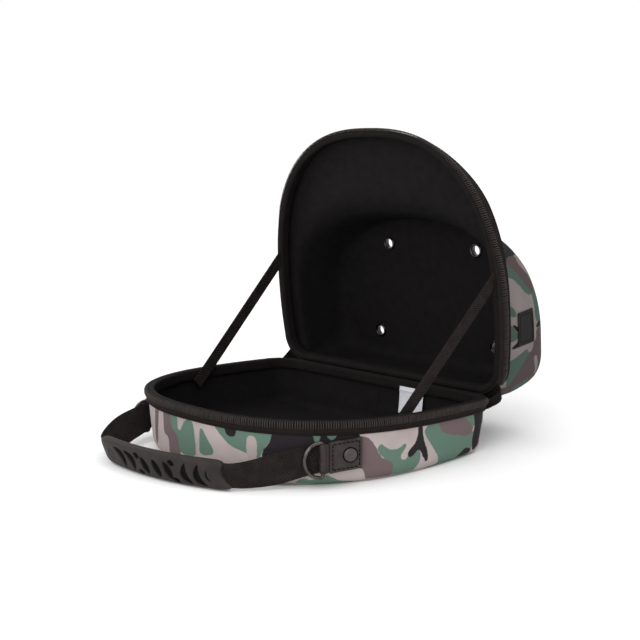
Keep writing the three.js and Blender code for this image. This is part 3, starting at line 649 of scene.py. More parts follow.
def lid_rings():
    """Rings of the lid's outer wall from the rim over the brim panel and the dome to the panel's middle."""
    table = cut_corners(LID_ROWS, 3)
    profile = [LID_COLUMNS.index(name) for name in ("front", "half", "z")]
    run = run_along(table[:, profile])
    rings = []
    for values in at_places(table, run, np.linspace(0, run[-1], 64)):
        row = dict(zip(LID_COLUMNS, values))
        rings.append(level_ring(row, RING_POINTS, row["z"]))
    return rings + towards_middle(rings[-1], 34)


def offset_rings(rings, distance):
    """Rings moved along the wall's normals, inward for a positive distance."""
    stack = np.asarray(rings)
    along = np.roll(stack, -1, axis=1) - np.roll(stack, 1, axis=1)
    onward = np.gradient(stack, axis=0)
    normal = unit(np.cross(along, onward))
    middle = stack.mean(axis=(0, 1))
    towards = np.sum(normal[0] * (middle - stack[0]), axis=1).mean()
    return stack + normal * distance * (1 if towards > 0 else -1)


def ring_cloth(rings):
    """Cloth places on rings: along from the front's middle, right positive, and down from the rim."""
    first = rings[0]
    girth = np.linalg.norm(np.roll(first, -1, axis=0) - first, axis=1).sum()
    along = (np.arange(RING_POINTS) - RING_POINTS / 2) * girth / RING_POINTS
    down = run_along([ring[RING_POINTS * 3 // 4] for ring in rings])
    return cloth_grid(down, along)[:, ::-1]


def shell(rings, thickness):
    """Shape of a wall inside rings, closed at the rim and at the middle."""
    outer = np.asarray(rings)
    inner = offset_rings(rings, thickness)
    count = len(outer)
    start = count * RING_POINTS
    faces = grid(count, RING_POINTS, True) + turned(grid(count, RING_POINTS, True, start))
    for i in range(RING_POINTS):
        j = (i + 1) % RING_POINTS
        faces.append((i, start + i, start + j, j))
    faces.append(tuple(start - RING_POINTS + i for i in range(RING_POINTS)))
    faces.append(tuple(2 * start - RING_POINTS + i for i in reversed(range(RING_POINTS))))
    cloth = ring_cloth(rings)
    return np.vstack([outer.reshape(-1, 3), inner.reshape(-1, 3)]), faces, np.vstack([cloth, cloth])


def ruffle(points, size, reach, seed):
    """Small soft unevenness of cloth, the same for each run."""
    shifts = [noise.noise_vector(Vector(point / reach) + Vector((seed, 0, 0))) for point in points]
    return points + np.array(shifts) * size


# Woodland camouflage print, as outlines in cloth places

TRAY_PRINT = {
    "camo_brown": [
        [(-164, 20), (-153, 19), (-152, 8), (-148, -3), (-160, -6), (-165, 6)],
        [(-137, 31), (-132, 31), (-127, 14), (-120, 6), (-104, 3), (-106, -2), (-124, -1), (-133, 10)],
        [(-61, 50), (-53, 50), (-57, 38), (-62, 24), (-66, 12), (-72, 12), (-67, 28)],
        [(-43, 51), (-31, 51), (-31, 40), (-29, 34), (-23, 31), (-19, 24), (-20, 6), (-38, 6), (-36, 18),
         (-37, 26), (-45, 26), (-43, 38)],
        [(163, 42), (173, 40), (177, 35), (181, 29), (185, 22), (190, 18), (198, 16), (203, 10), (200, -2),
         (188, -6), (176, -2), (173, 8), (170, 14), (163, 16)],
        [(250, 50), (270, 52), (290, 48), (290, 42), (294, 37), (303, 33), (307, 28), (304, 23), (296, 22),
         (286, 25), (271, 28), (261, 32), (255, 37)],
    ],
    "camo_green": [
        [(-190, 18), (-178, 19), (-166, 17), (-164, 8), (-172, -6), (-195, -6)],
        [(-31, 52), (-19, 52), (-19, 44), (-20, 35), (-16, 33), (-8, 46), (2, 47), (5, 40), (5, 24), (4, 12),
         (-20, 12), (-20, 26), (-23, 31), (-29, 33), (-31, 40)],
        [(9, 16), (11, 30), (13, 42), (16, 42), (22, 33), (31, 22), (24, 18)],
        [(30, 52), (89, 53), (90, 44), (87, 38), (81, 31), (78, 23), (74, 24), (66, 27), (58, 29), (50, 31),
         (41, 37), (33, 45)],
        [(182, 28), (184, 33), (188, 33), (191, 30), (196, 27), (203, 26), (208, 28), (211, 31), (214, 29),
         (213, 26), (209, 22), (208, 18), (210, 15), (214, 15), (217, 19), (222, 21), (231, 22), (233, 14),
         (229, 5), (222, -6), (199, -6), (201, 11), (198, 17), (190, 19)],
        [(244, 50), (251, 50), (255, 37), (261, 32), (271, 28), (286, 25), (296, 22), (304, 23), (310, 26),
         (311, 14), (306, -6), (264, -6), (257, 10), (250, 18), (244, 25), (237, 33), (234, 38), (238, 41)],
        [(289, 46), (310, 44), (312, 32), (306, 28), (302, 34), (294, 38)],
        [(120, 52), (124, 36), (150, 38), (152, 52)],
        [(314, 54), (352, 54), (350, 34), (330, 20), (322, 30)],
        [(106, -4), (110, 5), (117, 8), (122, 5), (130, 8), (136, 11), (141, 8), (148, 4), (162, 1),
         (160, -8), (120, -9)],
    ],
    "camo_black": [
        [(43, 56), (43, 46), (45, 41), (50, 39), (55, 41), (57, 46), (57, 56)],
        [(89, 56), (90, 44), (87, 38), (81, 31), (79, 22), (108, 24), (122, 32), (136, 36), (166, 36),
         (166, 46), (150, 50), (146, 46), (143, 41), (138, 41), (135, 48), (132, 48), (130, 40), (128, 35),
         (126, 40), (124, 48), (110, 56)],
        [(226, 52), (227, 38), (225, 29), (216, 22), (216, 17), (221, 16), (228, 22), (231, 21), (236, 14),
         (240, 8), (243, 10), (242, 17), (238, 24), (234, 32), (232, 40), (233, 52)],
        [(304, 46), (313, 52), (320, 46), (325, 32), (325, 16), (318, 4), (311, 6), (308, 16), (310, 30)],
        [(286, -2), (290, 5), (297, 11), (306, 9), (312, 6), (306, -6), (290, -8)],
    ],
    "camo_light": [
        [(-188, 11), (-180, 9), (-173, 3), (-176, 0), (-190, 7)],
        [(-20, 52), (-4, 52), (-8, 46), (-14, 40), (-17, 35), (-19, 40)],
        [(66, 27), (66, 38), (68, 43), (74, 43), (76, 38), (76, 22), (66, 20)],
        [(100, 47), (111, 47), (106, 44)],
    ],
}
# How far the brown runs under its neighbours, and the stretch of the tray's wall that the outlines cover
UNDERLAP = 1.1
TRAY_PRINT_SPAN = (-172.0, 330.0)

# Print on the right of the lid's dome: distance from the hinge and depth
DOME_PRINT = {
    "camo_brown": [
        [(126, 70), (114, 71), (104, 76), (88, 78), (90, 70), (96, 64), (104, 57), (115, 50), (119, 43),
         (124, 43), (127, 53)],
        [(56, 70), (56, 100), (-12, 100), (-12, 6), (4, 6), (9, 31), (20, 42), (29, 50), (34, 58),
         (41, 64), (44, 70)],
    ],
    "camo_green": [
        [(88, 72), (90, 59), (95, 54), (102, 48), (109, 40), (111, 34), (114, 30), (121, 34), (121, 42),
         (115, 51), (104, 58), (96, 65)],
        [(92, 69), (76, 69), (60, 68), (58, 100), (92, 100)],
        [(53, 40), (58, 36), (65, 30), (72, 18), (52, 18), (50, 30)],
        [(73, 35), (75, 28), (80, 18), (88, 18), (84, 30), (78, 35)],
        [(39, 54), (34, 59), (29, 51), (20, 42), (9, 31), (4, 18), (30, 18), (33, 34), (36, 43)],
        [(8, 62), (-2, 60), (-4, 34), (4, 34), (6, 46)],
    ],
    "camo_black": [
        [(126, 84), (124, 72), (127, 52), (122, 42), (124, 28), (132, 14), (176, 14), (176, 96)],
        [(62, 100), (62, 82), (60, 69), (54, 69), (58, 82), (56, 100)],
        [(61, 42), (66, 33), (68, 28), (65, 29), (57, 38), (55, 42)],
        [(52, 42), (47, 34), (44, 26), (42, 30), (44, 42)],
    ],
    "camo_light": [
        [(123, 74), (120, 67), (111, 70), (104, 78), (114, 78)],
        [(29, 69), (25, 71), (9, 73), (7, 69), (20, 66), (28, 64)],
        [(42, 64), (36, 62), (33, 57), (37, 52), (42, 53)],
    ],
}
# Distance given to places that are far from any outline
NO_PRINT = 60.0
# Scattered shapes: reach of each noise, how far one warps the rest, and distance for a unit of noise
WARP_REACH = 38
WARP = 14
BROWN_REACH = 46
GREEN_REACH = 42
BRANCH_REACH = 40
BRANCH_FIELD = 60
NOISE_SLOPE = 40


def outline_field(places, outline):
    """Signed distance to a smoothed closed outline, negative inside."""
    corners = np.asarray(outline, float)
    for _ in range(2):
        after = np.roll(corners, -1, axis=0)
        near = 0.75 * corners + 0.25 * after
        far = 0.25 * corners + 0.75 * after
        corners = np.stack([near, far], axis=1).reshape(-1, 2)
    best = np.full(len(places), 1e9)
    inside = np.zeros(len(places), bool)
    for first, second in zip(corners, np.roll(corners, -1, axis=0)):
        edge = second - first
        rel = places - first
        share = np.clip(rel @ edge / max(edge @ edge, 1e-9), 0, 1)
        best = np.minimum(best, np.linalg.norm(rel - share[:, None] * edge, axis=1))
        crosses = (first[1] > places[:, 1]) != (second[1] > places[:, 1])
        with np.errstate(divide="ignore", invalid="ignore"):
            at = first[0] + (places[:, 1] - first[1]) * edge[0] / edge[1]
        inside ^= crosses & (places[:, 0] < at)
    return np.where(inside, -best, best)


def print_fields(places, outlines):
    """Distances to the outlines of each ink; brown runs a little under its neighbours."""
    fields = {}
    for name, _ in CAMO_LAYERS:
        field = np.full(len(places), NO_PRINT)
        for outline in outlines[name]:
            field = np.minimum(field, outline_field(places, outline))
        fields[name] = field - (UNDERLAP if name == "camo_brown" else 0.0)
    return fields


def scattered_fields(points, seed):
    """Camouflage shapes from smooth noise, for the sides where the print's own outlines don't reach."""
    fields = {name: [] for name, _ in CAMO_LAYERS}
    for point in points:
        place = Vector(point)
        warp = noise.noise_vector(place / WARP_REACH + Vector((seed, 5, 1))) * WARP
        brown = noise.noise((place + warp) / BROWN_REACH + Vector((seed + 3, 0, 0)))
        green = noise.noise((place + warp) / GREEN_REACH + Vector((seed + 17, 4, 0)))
        branch = abs(noise.noise((place + warp * 1.6) / BRANCH_REACH + Vector((seed + 31, 0, 2))))
        where = noise.noise(place / BRANCH_FIELD + Vector((seed + 43, 1, 7)))
        fields["camo_brown"].append((0.16 - brown) * NOISE_SLOPE)
        fields["camo_green"].append((0.1 - green) * NOISE_SLOPE)
        fields["camo_black"].append((branch - 0.1) * NOISE_SLOPE + max(0.08 - where, 0) * 3 * NOISE_SLOPE)
        fields["camo_light"].append(NO_PRINT)
    return {name: np.array(values) for name, values in fields.items()}


def blend_fields(first, second, share):
    return {name: first[name] * (1 - share) + second[name] * share for name in second}


# Camera, floor and light, in metres, watts and degrees

CAMERA_LENS = 65.6
CAMERA_SENSOR = 36.0
CAMERA_PLACE = (0.7949, -0.7409, 0.2878)
CAMERA_DOWN = 8.67
CAMERA_TURN = 45.65
FLOOR_REACH = 20000
FLOOR_DROP = 0.0002
FLOOR_TONES = (0.87, 0.89)
# Strength of the surround on the left and on the right, and the span in which it changes
SURROUND = (1.02, 0.7)
SURROUND_SPAN = (-0.4, 0.5)
SUN_STRENGTH = 1.25
SUN_ANGLE = 70
SUN_TURN = (14, 18, 0)
# Lamps: place, power and side length
LAMPS = {"front": ((0.9, -1.8, 0.7), 17.0, 1.0), "left": ((-1.8, -1.2, 1.2), 6.0, 1.2)}
LAMP_AIM = Vector((0, 0, 0.1))


def camera():
    data = bpy.data.cameras.new("camera")
    data.lens = CAMERA_LENS
    data.sensor_width = CAMERA_SENSOR
    turn = (math.radians(90 - CAMERA_DOWN), 0, math.radians(CAMERA_TURN))
    bpy.context.scene.camera = add_object("camera", data, CAMERA_PLACE, turn)


def floor():
    material, tree, surface = shader("floor", Roughness=0.9, Specular_IOR_Level=0.1)
    tones = [(tone, tone, tone, 1) for tone in FLOOR_TONES]
    wire(surface, Base_Color=ramp_colour(tree, speckle(tree, 1.5), *tones))
    corners = [(-1, -1, 0), (1, -1, 0), (1, 1, 0), (-1, 1, 0)]
    made = make_mesh("floor", (np.array(corners) * FLOOR_REACH, [(0, 1, 2, 3)], None), material)
    made.location.z = -FLOOR_DROP


def light():
    """A white surround that is dimmer to the right, a wide overhead light and two soft lamps."""
    world = bpy.data.worlds.new("world")
    world.use_nodes = True
    tree = world.node_tree
    background = tree.nodes["Background"]
    direction = add(tree, "ShaderNodeTexCoord").outputs["Generated"]
    sideways = add(tree, "ShaderNodeSeparateXYZ", {0: direction}).outputs[0]
    wire(background, Strength=rescale(tree, sideways, *SURROUND_SPAN, *SURROUND))
    background.inputs["Color"].default_value = (1, 1, 1, 1)
    bpy.context.scene.world = world
    bpy.context.scene.view_settings.view_transform = "Standard"
    data = bpy.data.lights.new("overhead", "SUN")
    data.energy = SUN_STRENGTH
    data.angle = math.radians(SUN_ANGLE)
    add_object("overhead", data, turn=[math.radians(angle) for angle in SUN_TURN])
    for name, (place, power, size) in LAMPS.items():
        data = bpy.data.lights.new(name, "AREA")
        data.energy = power
        data.size = size
        add_object(name, data, place, (LAMP_AIM - Vector(place)).to_track_quat("-Z", "Y").to_euler())


# Shells and linings

# Size and reach of the cloth's unevenness
SHELL_RUFFLE = (0.35, 34.0)
LINING_RUFFLE = (0.4, 26.0)
# The tray's drawn print changes to scattered shapes over this half width, and between these heights
PRINT_FADE = 12.0
PRINT_LOW = (0.5, 3.0)
# The dome's drawn print begins between these distances from the middle and ends between these depths
DOME_PRINT_SIDE = (60, 90)
DOME_PRINT_DEPTH = (86, 94)


def drill_eyelets(piece):
    """Round holes for the eyelets through a lid piece, along the lid's depth."""
    parts = []
    for x, distance in EYELETS.values():
        flat = circle(HOLE_SIDES) * HOLE_RADIUS + [x, -distance]
        depths = (LID_DEPTH - HOLE_REACH, LID_DEPTH + HOLE_REACH)
        points = np.vstack([np.column_stack([flat, np.full(HOLE_SIDES, depth)]) for depth in depths])
        faces = grid(2, HOLE_SIDES, True) + turned(end_caps(2, HOLE_SIDES))
        parts.append((lid_world(points), faces, None))
    cutter = make_mesh("cutter", join_parts(parts), THREAD)
    hole = piece.modifiers.new("hole", "BOOLEAN")
    hole.object = cutter
    hole.operation = "DIFFERENCE"
    hole.solver = "EXACT"
    graph = bpy.context.evaluated_depsgraph_get()
    drilled = bpy.data.meshes.new_from_object(piece.evaluated_get(graph))
    piece.modifiers.clear()
    piece.data = drilled
    bpy.data.objects.remove(cutter)


def lining_mesh(name, rings, place, seed):
    points, faces, cloth = shell(offset_rings(rings, LINING_START), LINING)
    return make_mesh(name, (place(ruffle(points, *LINING_RUFFLE, seed)), faces, cloth), LINING_CLOTH)


def tray_pieces():
    rings = tray_rings()
    points, faces, cloth = shell(rings, SHELL)
    along, height = cloth[:, 0], points[:, 2]
    low, high = TRAY_PRINT_SPAN
    left = 1 - smooth_step(along, low - PRINT_FADE, low + PRINT_FADE)
    right = smooth_step(along, high - PRINT_FADE, high + PRINT_FADE)
    beyond = np.maximum(right + left, 1 - smooth_step(height, *PRINT_LOW))
    drawn = print_fields(np.column_stack([along, height]), TRAY_PRINT)
    fields = blend_fields(drawn, scattered_fields(points, 2.0), beyond)
    points = ruffle(points, *SHELL_RUFFLE, 1.0)
    points[:, 2] = np.maximum(points[:, 2], 0.0)
    shape = (tray_world(points), faces, cloth)
    add_piece("tray_cloth", shape, CAMO, "camo_cloth", "tray_shell", fields=fields)
    settle(lining_mesh("tray_inside", rings, tray_world, 9.0), "lining_cloth", "tray_lining")


def lid_pieces():
    rings = lid_rings()
    points, faces, cloth = shell(rings, SHELL)
    x, distance, depth = points[:, 0], -points[:, 1], points[:, 2]
    right = smooth_step(x, *DOME_PRINT_SIDE) * (1 - smooth_step(depth, *DOME_PRINT_DEPTH))
    drawn = print_fields(np.column_stack([distance, depth]), DOME_PRINT)
    fields = blend_fields(scattered_fields(points, 8.0), drawn, right)
    points = ruffle(points, *SHELL_RUFFLE, 4.0)
    # The lid's cloth takes the half-bright copy of the print, which is painted shade.
    made = make_mesh("lid_cloth", (lid_world(points), faces, cloth), SHADED_LID_CAMO, fields)
    drill_eyelets(made)
    settle(made, "camo_cloth", "lid_shell")
    made = lining_mesh("lid_inside", rings, lid_world, 14.0)
    drill_eyelets(made)
    settle(made, "lining_cloth", "lid_lining")


# Zips and bindings

TAPE = 1.4
TAPE_BACK = 0.3
ZIP_END = 14.0
TAPE_END = 120.0
TOOTH_PITCH = 2.1
RIB_PITCH = 1.7
RIB_HEIGHT = 0.22
RIM_STATIONS = 2400
TAPE_STEP = 4
BINDING_STATIONS = 2160
# Each rim: its placing, the way up from it, its tape's width, the coil's drop and the tape's lean
RIMS = {"tray": (tray_world, UP, 12.6, 0.0, 0.0), "lid": (lid_world, -UP, 17.8, 5.5, 5.0)}
# Stitches: length, gap and radius
ZIP_STITCH = (2.4, 1.2, 0.28)
ZIP_STITCH_INSET = 1.9
STITCH_LIFT = 0.05
# Distances from the hinge between which the coil rises to the rim and the tape begins to lean
COIL_RISE = (100, 180)
TAPE_LEAN_SPAN = (180, 236)
# One coil turn as height over the rim, distance out and radius
TOOTH = [
    (-7.3, 1.3, 0.4), (-6.7, 2.8, 0.52), (-5.2, 3.4, 0.56), (-3.0, 3.5, 0.56), (-1.4, 3.0, 0.52),
    (-0.5, 1.2, 0.4),
]
# Section of the binding: distance out, height and share of the ribs' height
BINDING = [
    (0.2, -2.2, 0), (0.2, -1.3, 0), (-0.5, -0.6, 0), (-1.7, -0.3, 0), (-3.2, -0.4, 0), (-4.6, -0.8, 0.2),
    (-5.6, -1.6, 0.7), (-6.0, -2.6, 1), (-6.25, -5.0, 1), (-6.5, -7.5, 1), (-6.8, -10.6, 1),
    (-6.3, -11.0, 0.5), (-5.4, -10.6, 0), (-4.6, -2.3, 0),
]


def rim_path(half, count):
    """Points round a rim and the directions out from it."""
    ring = level_ring(outline_row(RIM_INSET), count, 0.0)
    outs = ring_outs(ring)
    if half == "tray":
        ring[:, 2] = rim_height(ring[:, 1])
    return ring, outs


def zip_pieces(half):
    """Zip tape, the coil along its free edge and a row of stitches, round the sides and front of a rim."""
    place, up, width, drop, lean = RIMS[half]
    path, outs = rim_path(half, RIM_STATIONS)
    keep = (-path[:, 1] > ZIP_END) | (np.abs(path[:, 0]) > TAPE_END)
    path, outs = path[keep], outs[keep]
    distances = -path[:, 1]
    drops = drop * (1 - smooth_step(distances, *COIL_RISE))
    leans = lean / width * smooth_step(distances, *TAPE_LEAN_SPAN)
    face = TAPE_BACK + TAPE
    tape = [(TAPE_BACK, -width), (0.9, -width - 0.2), (face - 0.2, -width + 0.3), (face, -width + 1.2),
            (face + 0.1, -7.6), (face, -1.4), (face - 0.4, -0.9), (TAPE_BACK, -0.9)]
    line, line_outs, line_leans = path[::TAPE_STEP], outs[::TAPE_STEP], leans[::TAPE_STEP, None]
    sections = np.repeat(np.array(tape)[None], len(line), axis=0)
    sections[:, :, 0] += line_leans * sections[:, :, 1]
    points, faces, cloth = sweep(line, line_outs, up, sections)
    name = half + "_zip_half"
    add_piece(name + "_tape", (place(points), faces, cloth), ZIP_TAPE, "zip_coil", half + "_zip")
    run = run_along(path)
    rounds = [circle(6) * radius for _, _, radius in TOOTH]
    parts = []
    for travelled in np.arange(1.0, run[-1] - 1.0, TOOTH_PITCH):
        i = min(np.searchsorted(run, travelled), len(path) - 2)
        if distances[i] < ZIP_END:
            continue
        spine = []
        for high, out, _ in TOOTH:
            level = high - drops[i]
            spine.append(path[i] + outs[i] * (out + leans[i] * level) + up * level)
        parts.append(sweep(spine, outs[i], unit(path[i + 1] - path[i]), rounds))
    points, faces, cloth = join_parts(parts)
    add_piece(name + "_teeth", (place(points), faces, cloth), COIL, "zip_coil")
    level = ZIP_STITCH_INSET - width
    line = line + line_outs * (face + STITCH_LIFT + line_leans * level) + up * level
    points, faces, cloth = stitch_row(line, line_outs, *ZIP_STITCH)
    add_piece(name + "_stitches", (place(points), faces, cloth), THREAD, "zip_coil")


def binding_piece(half):
    """Ribbed binding folded over a rim's edge, with a smooth roll on top."""
    place, up = RIMS[half][:2]
    count = BINDING_STATIONS
    ring, outs = rim_path(half, count)
    girth = np.linalg.norm(np.roll(ring, -1, axis=0) - ring, axis=1).sum()
    ribs = round(girth / RIB_PITCH)
    wave = RIB_HEIGHT * np.cos(np.arange(count) / count * ribs * 2 * np.pi)
    table = np.array(BINDING)
    sections = np.repeat(table[None, :, :2], count, axis=0)
    sections[:, :, 0] += wave[:, None] * table[:, 2]
    points, faces, cloth = sweep(ring, outs, up, sections, True)
    name, node = half + "_rim_binding", half + "_binding"
    add_piece(name, (place(points), faces, cloth), RIBBED_TAPE, "webbing", node)


# Eyelets

EYELET_SEAT = 5.5
EYELET_BORE = 4.8
EYELET_MOUTH = 4.9
EYELET_MOUTH_DEPTH = 0.8
FLANGE_RADIUS = 6.25
FLANGE_ROLL = 1.25
FLANGE_RISE = 1.1
# How far the flanges sit from the lining and from the shell
INSIDE_GAP = 0.5
OUTSIDE_GAP = 0.3


def flange(face, way, turns):
    """Profile of a rolled flange on one side of the panel."""
    return [
        (FLANGE_RADIUS + FLANGE_ROLL * math.cos(turn), face + way * FLANGE_RISE * max(math.sin(turn), -0.2))
        for turn in turns
    ]


def eyelet_pieces():
    """Plated eyelets: a rolled flange on each side of the panel and a barrel between."""
    inner = LID_DEPTH - LINING_START - LINING - INSIDE_GAP
    outer = LID_DEPTH + OUTSIDE_GAP
    turns = np.linspace(-0.1, 1.0, 10) * math.pi
    barrel = [(EYELET_MOUTH, inner + EYELET_MOUTH_DEPTH), (EYELET_BORE, (inner + outer) / 2),
              (EYELET_MOUTH, outer - EYELET_MOUTH_DEPTH)]
    profile = [(EYELET_SEAT, inner), *flange(inner, -1, turns), *barrel, *flange(outer, 1, turns[::-1]),
               (EYELET_SEAT, outer)]
    for name, (x, distance) in EYELETS.items():
        def place(points, shift=(x, -distance, 0)):
            return lid_world(points + np.array(shift))
        add_piece(name + "_ring", lathe(profile, 40, place), STEEL, "eyelet_metal", name)


# Strap, tabs, rings and grip

WEB_WIDTH = 25.0
WEB_IN_GRIP = 21.5
WEB_THICKNESS = 1.6
WEB_INSET = 4.2
WEB_LOWEST = 0.3
SIDE_ROW = outline_row(WEB_INSET)
TAB_REAR = 175.5
TAB_LENGTH = 35.0
TAB_HEIGHT = 27.0
TAB_THICKNESS = 1.6
TAB_REAR_Z = 30.0
TAB_SLOPE = 0.1
FOLD_HALF = 12.6
FOLD_GAP = 0.3
PLATE_LENGTH = 28.0
PLATE_HALF = 0.7
PLATE_OUT = WEB_THICKNESS + 0.4 + TAB_THICKNESS + PLATE_HALF
TAB_STITCH = (2.6, 1.1, 0.55)
TAB_STITCH_INSET = 2.6
SNAP_ALONG = 10.6
# Profiles of the snap's cap and of the groove round it, a black ring of painted shade: radius and height
SNAP_CAP = [(0.01, -0.4), (5.6, -0.4), (5.65, 0.9), (5.2, 1.3), (3.0, 1.45), (0.01, 1.5)]
SNAP_GROOVE_SHADE = [(5.7, -0.4), (6.8, -0.4), (6.8, 0.15), (6.4, 0.3), (5.7, 0.2)]
RING_WIRE = 1.7
RING_BAR_ALONG = 33.0
RING_BAR_OUT = WEB_THICKNESS + 3.9
RING_HALF = 15.1
RING_REACH = 16.0
RING_BOW_START = 2.2
RING_Z = {1: 25.5, -1: 22.5}
RING_SWING = {1: 0.0, -1: math.radians(28)}
# Free parts of the strap from each tab to the grip: place, outward lean in degrees and width
STRAP_FREE = {
    1: [(107.5, -94.5, 23, 3, 26), (95, -111, 18.2, 4, 27), (82, -127, 14.6, 4, 24)],
    -1: [(-112, -97, 23, 20, 26), (-107.5, -117, 19, 34, 27), (-96, -138.5, 15.6, 30, 25)],
}
GRIP_LENGTH = 153.0
GRIP_HEIGHT = 25.0
GRIP_DEPTH = 10.0
GRIP_BEND = 244.0
GRIP_PLACE = np.array([-3.4, -160, 13.6])
GRIP_LEAN = 12.0
GRIP_LEAN_CHANGE = -8.0
GRIP_TURN = math.radians(7.4)
GRIP_LOWEST = 0.2


def beside_tray(side, along, out, z):
    """A place beside the tray's wall: along it from the tab's rear end, out from the strap's inner face."""
    distance, travelled, step = TAB_REAR, 0.0, 0.5

    def slope(d):
        return float(half_width(SIDE_ROW, d + step) - half_width(SIDE_ROW, d - step)) / (2 * step)

    while travelled < along:
        used = min(step, along - travelled)
        distance += used / math.hypot(1, slope(distance))
        travelled += used
    if along < 0:
        distance += along / math.hypot(1, slope(distance))
    normal = unit(np.array([1, slope(distance)]))
    x = float(half_width(SIDE_ROW, distance)) + normal[0] * out
    return np.array([side * x, HINGE_Y - distance + normal[1] * out, z])


def tab_z(along):
    return TAB_REAR_Z - TAB_SLOPE * along


def grip_lean(along):
    """Outward lean of the grip and the strap in it, in degrees."""
    return GRIP_LEAN + GRIP_LEAN_CHANGE * np.asarray(along) / (GRIP_LENGTH / 2)


def bent(along, out, up):
    """A place in the grip: along its length, out to the front, and up, with its lean and its bend."""
    lean = np.radians(grip_lean(along))
    reach = GRIP_BEND + out * np.cos(lean) + up * np.sin(lean)
    level = up * np.cos(lean) - out * np.sin(lean)
    turn = along / GRIP_BEND
    x = reach * np.sin(turn)
    y = GRIP_BEND - reach * np.cos(turn)
    cos, sin = math.cos(GRIP_TURN), math.sin(GRIP_TURN)
    return np.stack([x * cos - y * sin, x * sin + y * cos, level], axis=-1) + GRIP_PLACE


def strap_end(side):
    """Knots of one end of the strap's middle line, from the tab's rear to the grip."""
    knots = []
    for along in np.linspace(0, TAB_LENGTH, 5):
        knots.append([*beside_tray(side, along, WEB_THICKNESS / 2, tab_z(along)), 0, WEB_WIDTH])
    for x, y, z, lean, width in STRAP_FREE[side]:
        knots.append([x, y, z, lean / 10, width])
    return knots


def strap_route():
    """Knots of the strap's middle line from right to left: place, a tenth of the lean and the width."""
    half = GRIP_LENGTH / 2 + 2
    in_grip = []
    for along in np.linspace(half, -half, 15):
        in_grip.append([*bent(along, 0.0, 0.0), grip_lean(along) / 10, WEB_IN_GRIP])
    return strap_end(1) + in_grip + strap_end(-1)[::-1]


def carry_strap():
    line = curve_through(strap_route(), 420)
    path, leans, widths = line[:, :3], np.radians(line[:, 3:4] * 10), line[:, 4]
    forward = tangents(path)
    level = unit(np.cross(forward, UP))
    upright = np.cross(level, forward)
    ups = upright * np.cos(leans) - level * np.sin(leans)
    sections = [strap_section(width, WEB_THICKNESS) for width in widths]
    points, faces, cloth = sweep(path, np.cross(forward, ups), ups, sections)
    points[:, 2] = np.maximum(points[:, 2], WEB_LOWEST)
    made = add_piece("carry_webbing", (points, faces, cloth), WEBBING, "webbing", "carry_strap")
    length = run_along(path)[-1]


def tab_fold(side):
    """The tab's under layer, flat on the strap and folded round the ring's bar."""
    lying = WEB_THICKNESS + FOLD_GAP + TAB_THICKNESS / 2
    fold = RING_WIRE + FOLD_GAP + TAB_THICKNESS / 2
    line = [(1, lying), (6, lying), (12, lying), (18, lying), (23, lying + 0.3), (26.5, lying + 1.2)]
    for turn in np.radians((125, 100, 75, 50, 25, 0, -25, -50, -75, -90)):
        line.append((RING_BAR_ALONG + fold * math.cos(turn), RING_BAR_OUT + fold * math.sin(turn)))
    line.append((RING_BAR_ALONG - 3, RING_BAR_OUT - fold))
    line = curve_through(line, 90)
    rows = 33
    sides = []
    for face in (1, -1):
        sheet = []
        for (u, w), (nu, nw) in zip(line, side_normals(line)):
            crease = 0.35 * math.sin(u * 2.6) * smooth_step(u, 26, 28)
            for level in np.linspace(-1, 1, rows):
                thick = TAB_THICKNESS / 2 * (1 - 0.75 * abs(level) ** 14) * face + crease
                z = tab_z(min(u, RING_BAR_ALONG)) + level * FOLD_HALF
                sheet.append(beside_tray(side, u + nu * thick, w + nw * thick, z))
        sides.append(sheet)
    return two_sided(*sides, len(line), rows)


def plate_face(along, level):
    """Distance out and height of the tab's stitched face; its top edge dips where the leather has warped."""
    share = along / PLATE_LENGTH * 2 - 1
    lift = PLATE_OUT + 1.7 * smooth_step(along, 20, PLATE_LENGTH) + 0.6 * (1 - share ** 2) * (1 - level ** 2)
    dip = math.exp(-((along - 10.7) / 4.5) ** 2) * smooth_step(level, 0.82, 1.0)
    return lift + 0.9 * dip, tab_z(along) + level * TAB_HEIGHT / 2 - 3.0 * dip


def tab_plate(side):
    """The tab's stitched top layer."""
    steps = 41
    front, back = [], []
    for along in np.linspace(0, PLATE_LENGTH, steps):
        for level in np.linspace(-1, 1, steps):
            out, z = plate_face(along, level)
            edge = max(abs(level), abs(along / PLATE_LENGTH * 2 - 1))
            soft = 1 - 0.8 * edge ** 24
            front.append(beside_tray(side, along, out + PLATE_HALF * soft, z))
            back.append(beside_tray(side, along, out - PLATE_HALF, z))
    return two_sided(front, back, steps, steps)


def tab_piece(side, name):
    """Leather tab: an under layer folded round the ring's bar and a stitched layer over it."""
    shape = join_parts([tab_fold(side), tab_plate(side)])
    add_piece(name + "_leather", shape, LEATHER, "tab_leather", name)
    near, far = TAB_STITCH_INSET, PLATE_LENGTH - TAB_STITCH_INSET
    high = 1 - TAB_STITCH_INSET / (TAB_HEIGHT / 2)
    path, outs = [], []
    for along, level in along_sides([(near, -high), (near, high), (far, high), (far, -high)], 20):
        out, z = plate_face(along, level)
        out = out + PLATE_HALF + STITCH_LIFT
        here = beside_tray(side, along, out, z)
        path.append(here)
        outs.append(beside_tray(side, along, out + 1, z) - here)
    add_piece(name + "_stitches", stitch_row(path, outs, *TAB_STITCH), THREAD, "tab_leather")


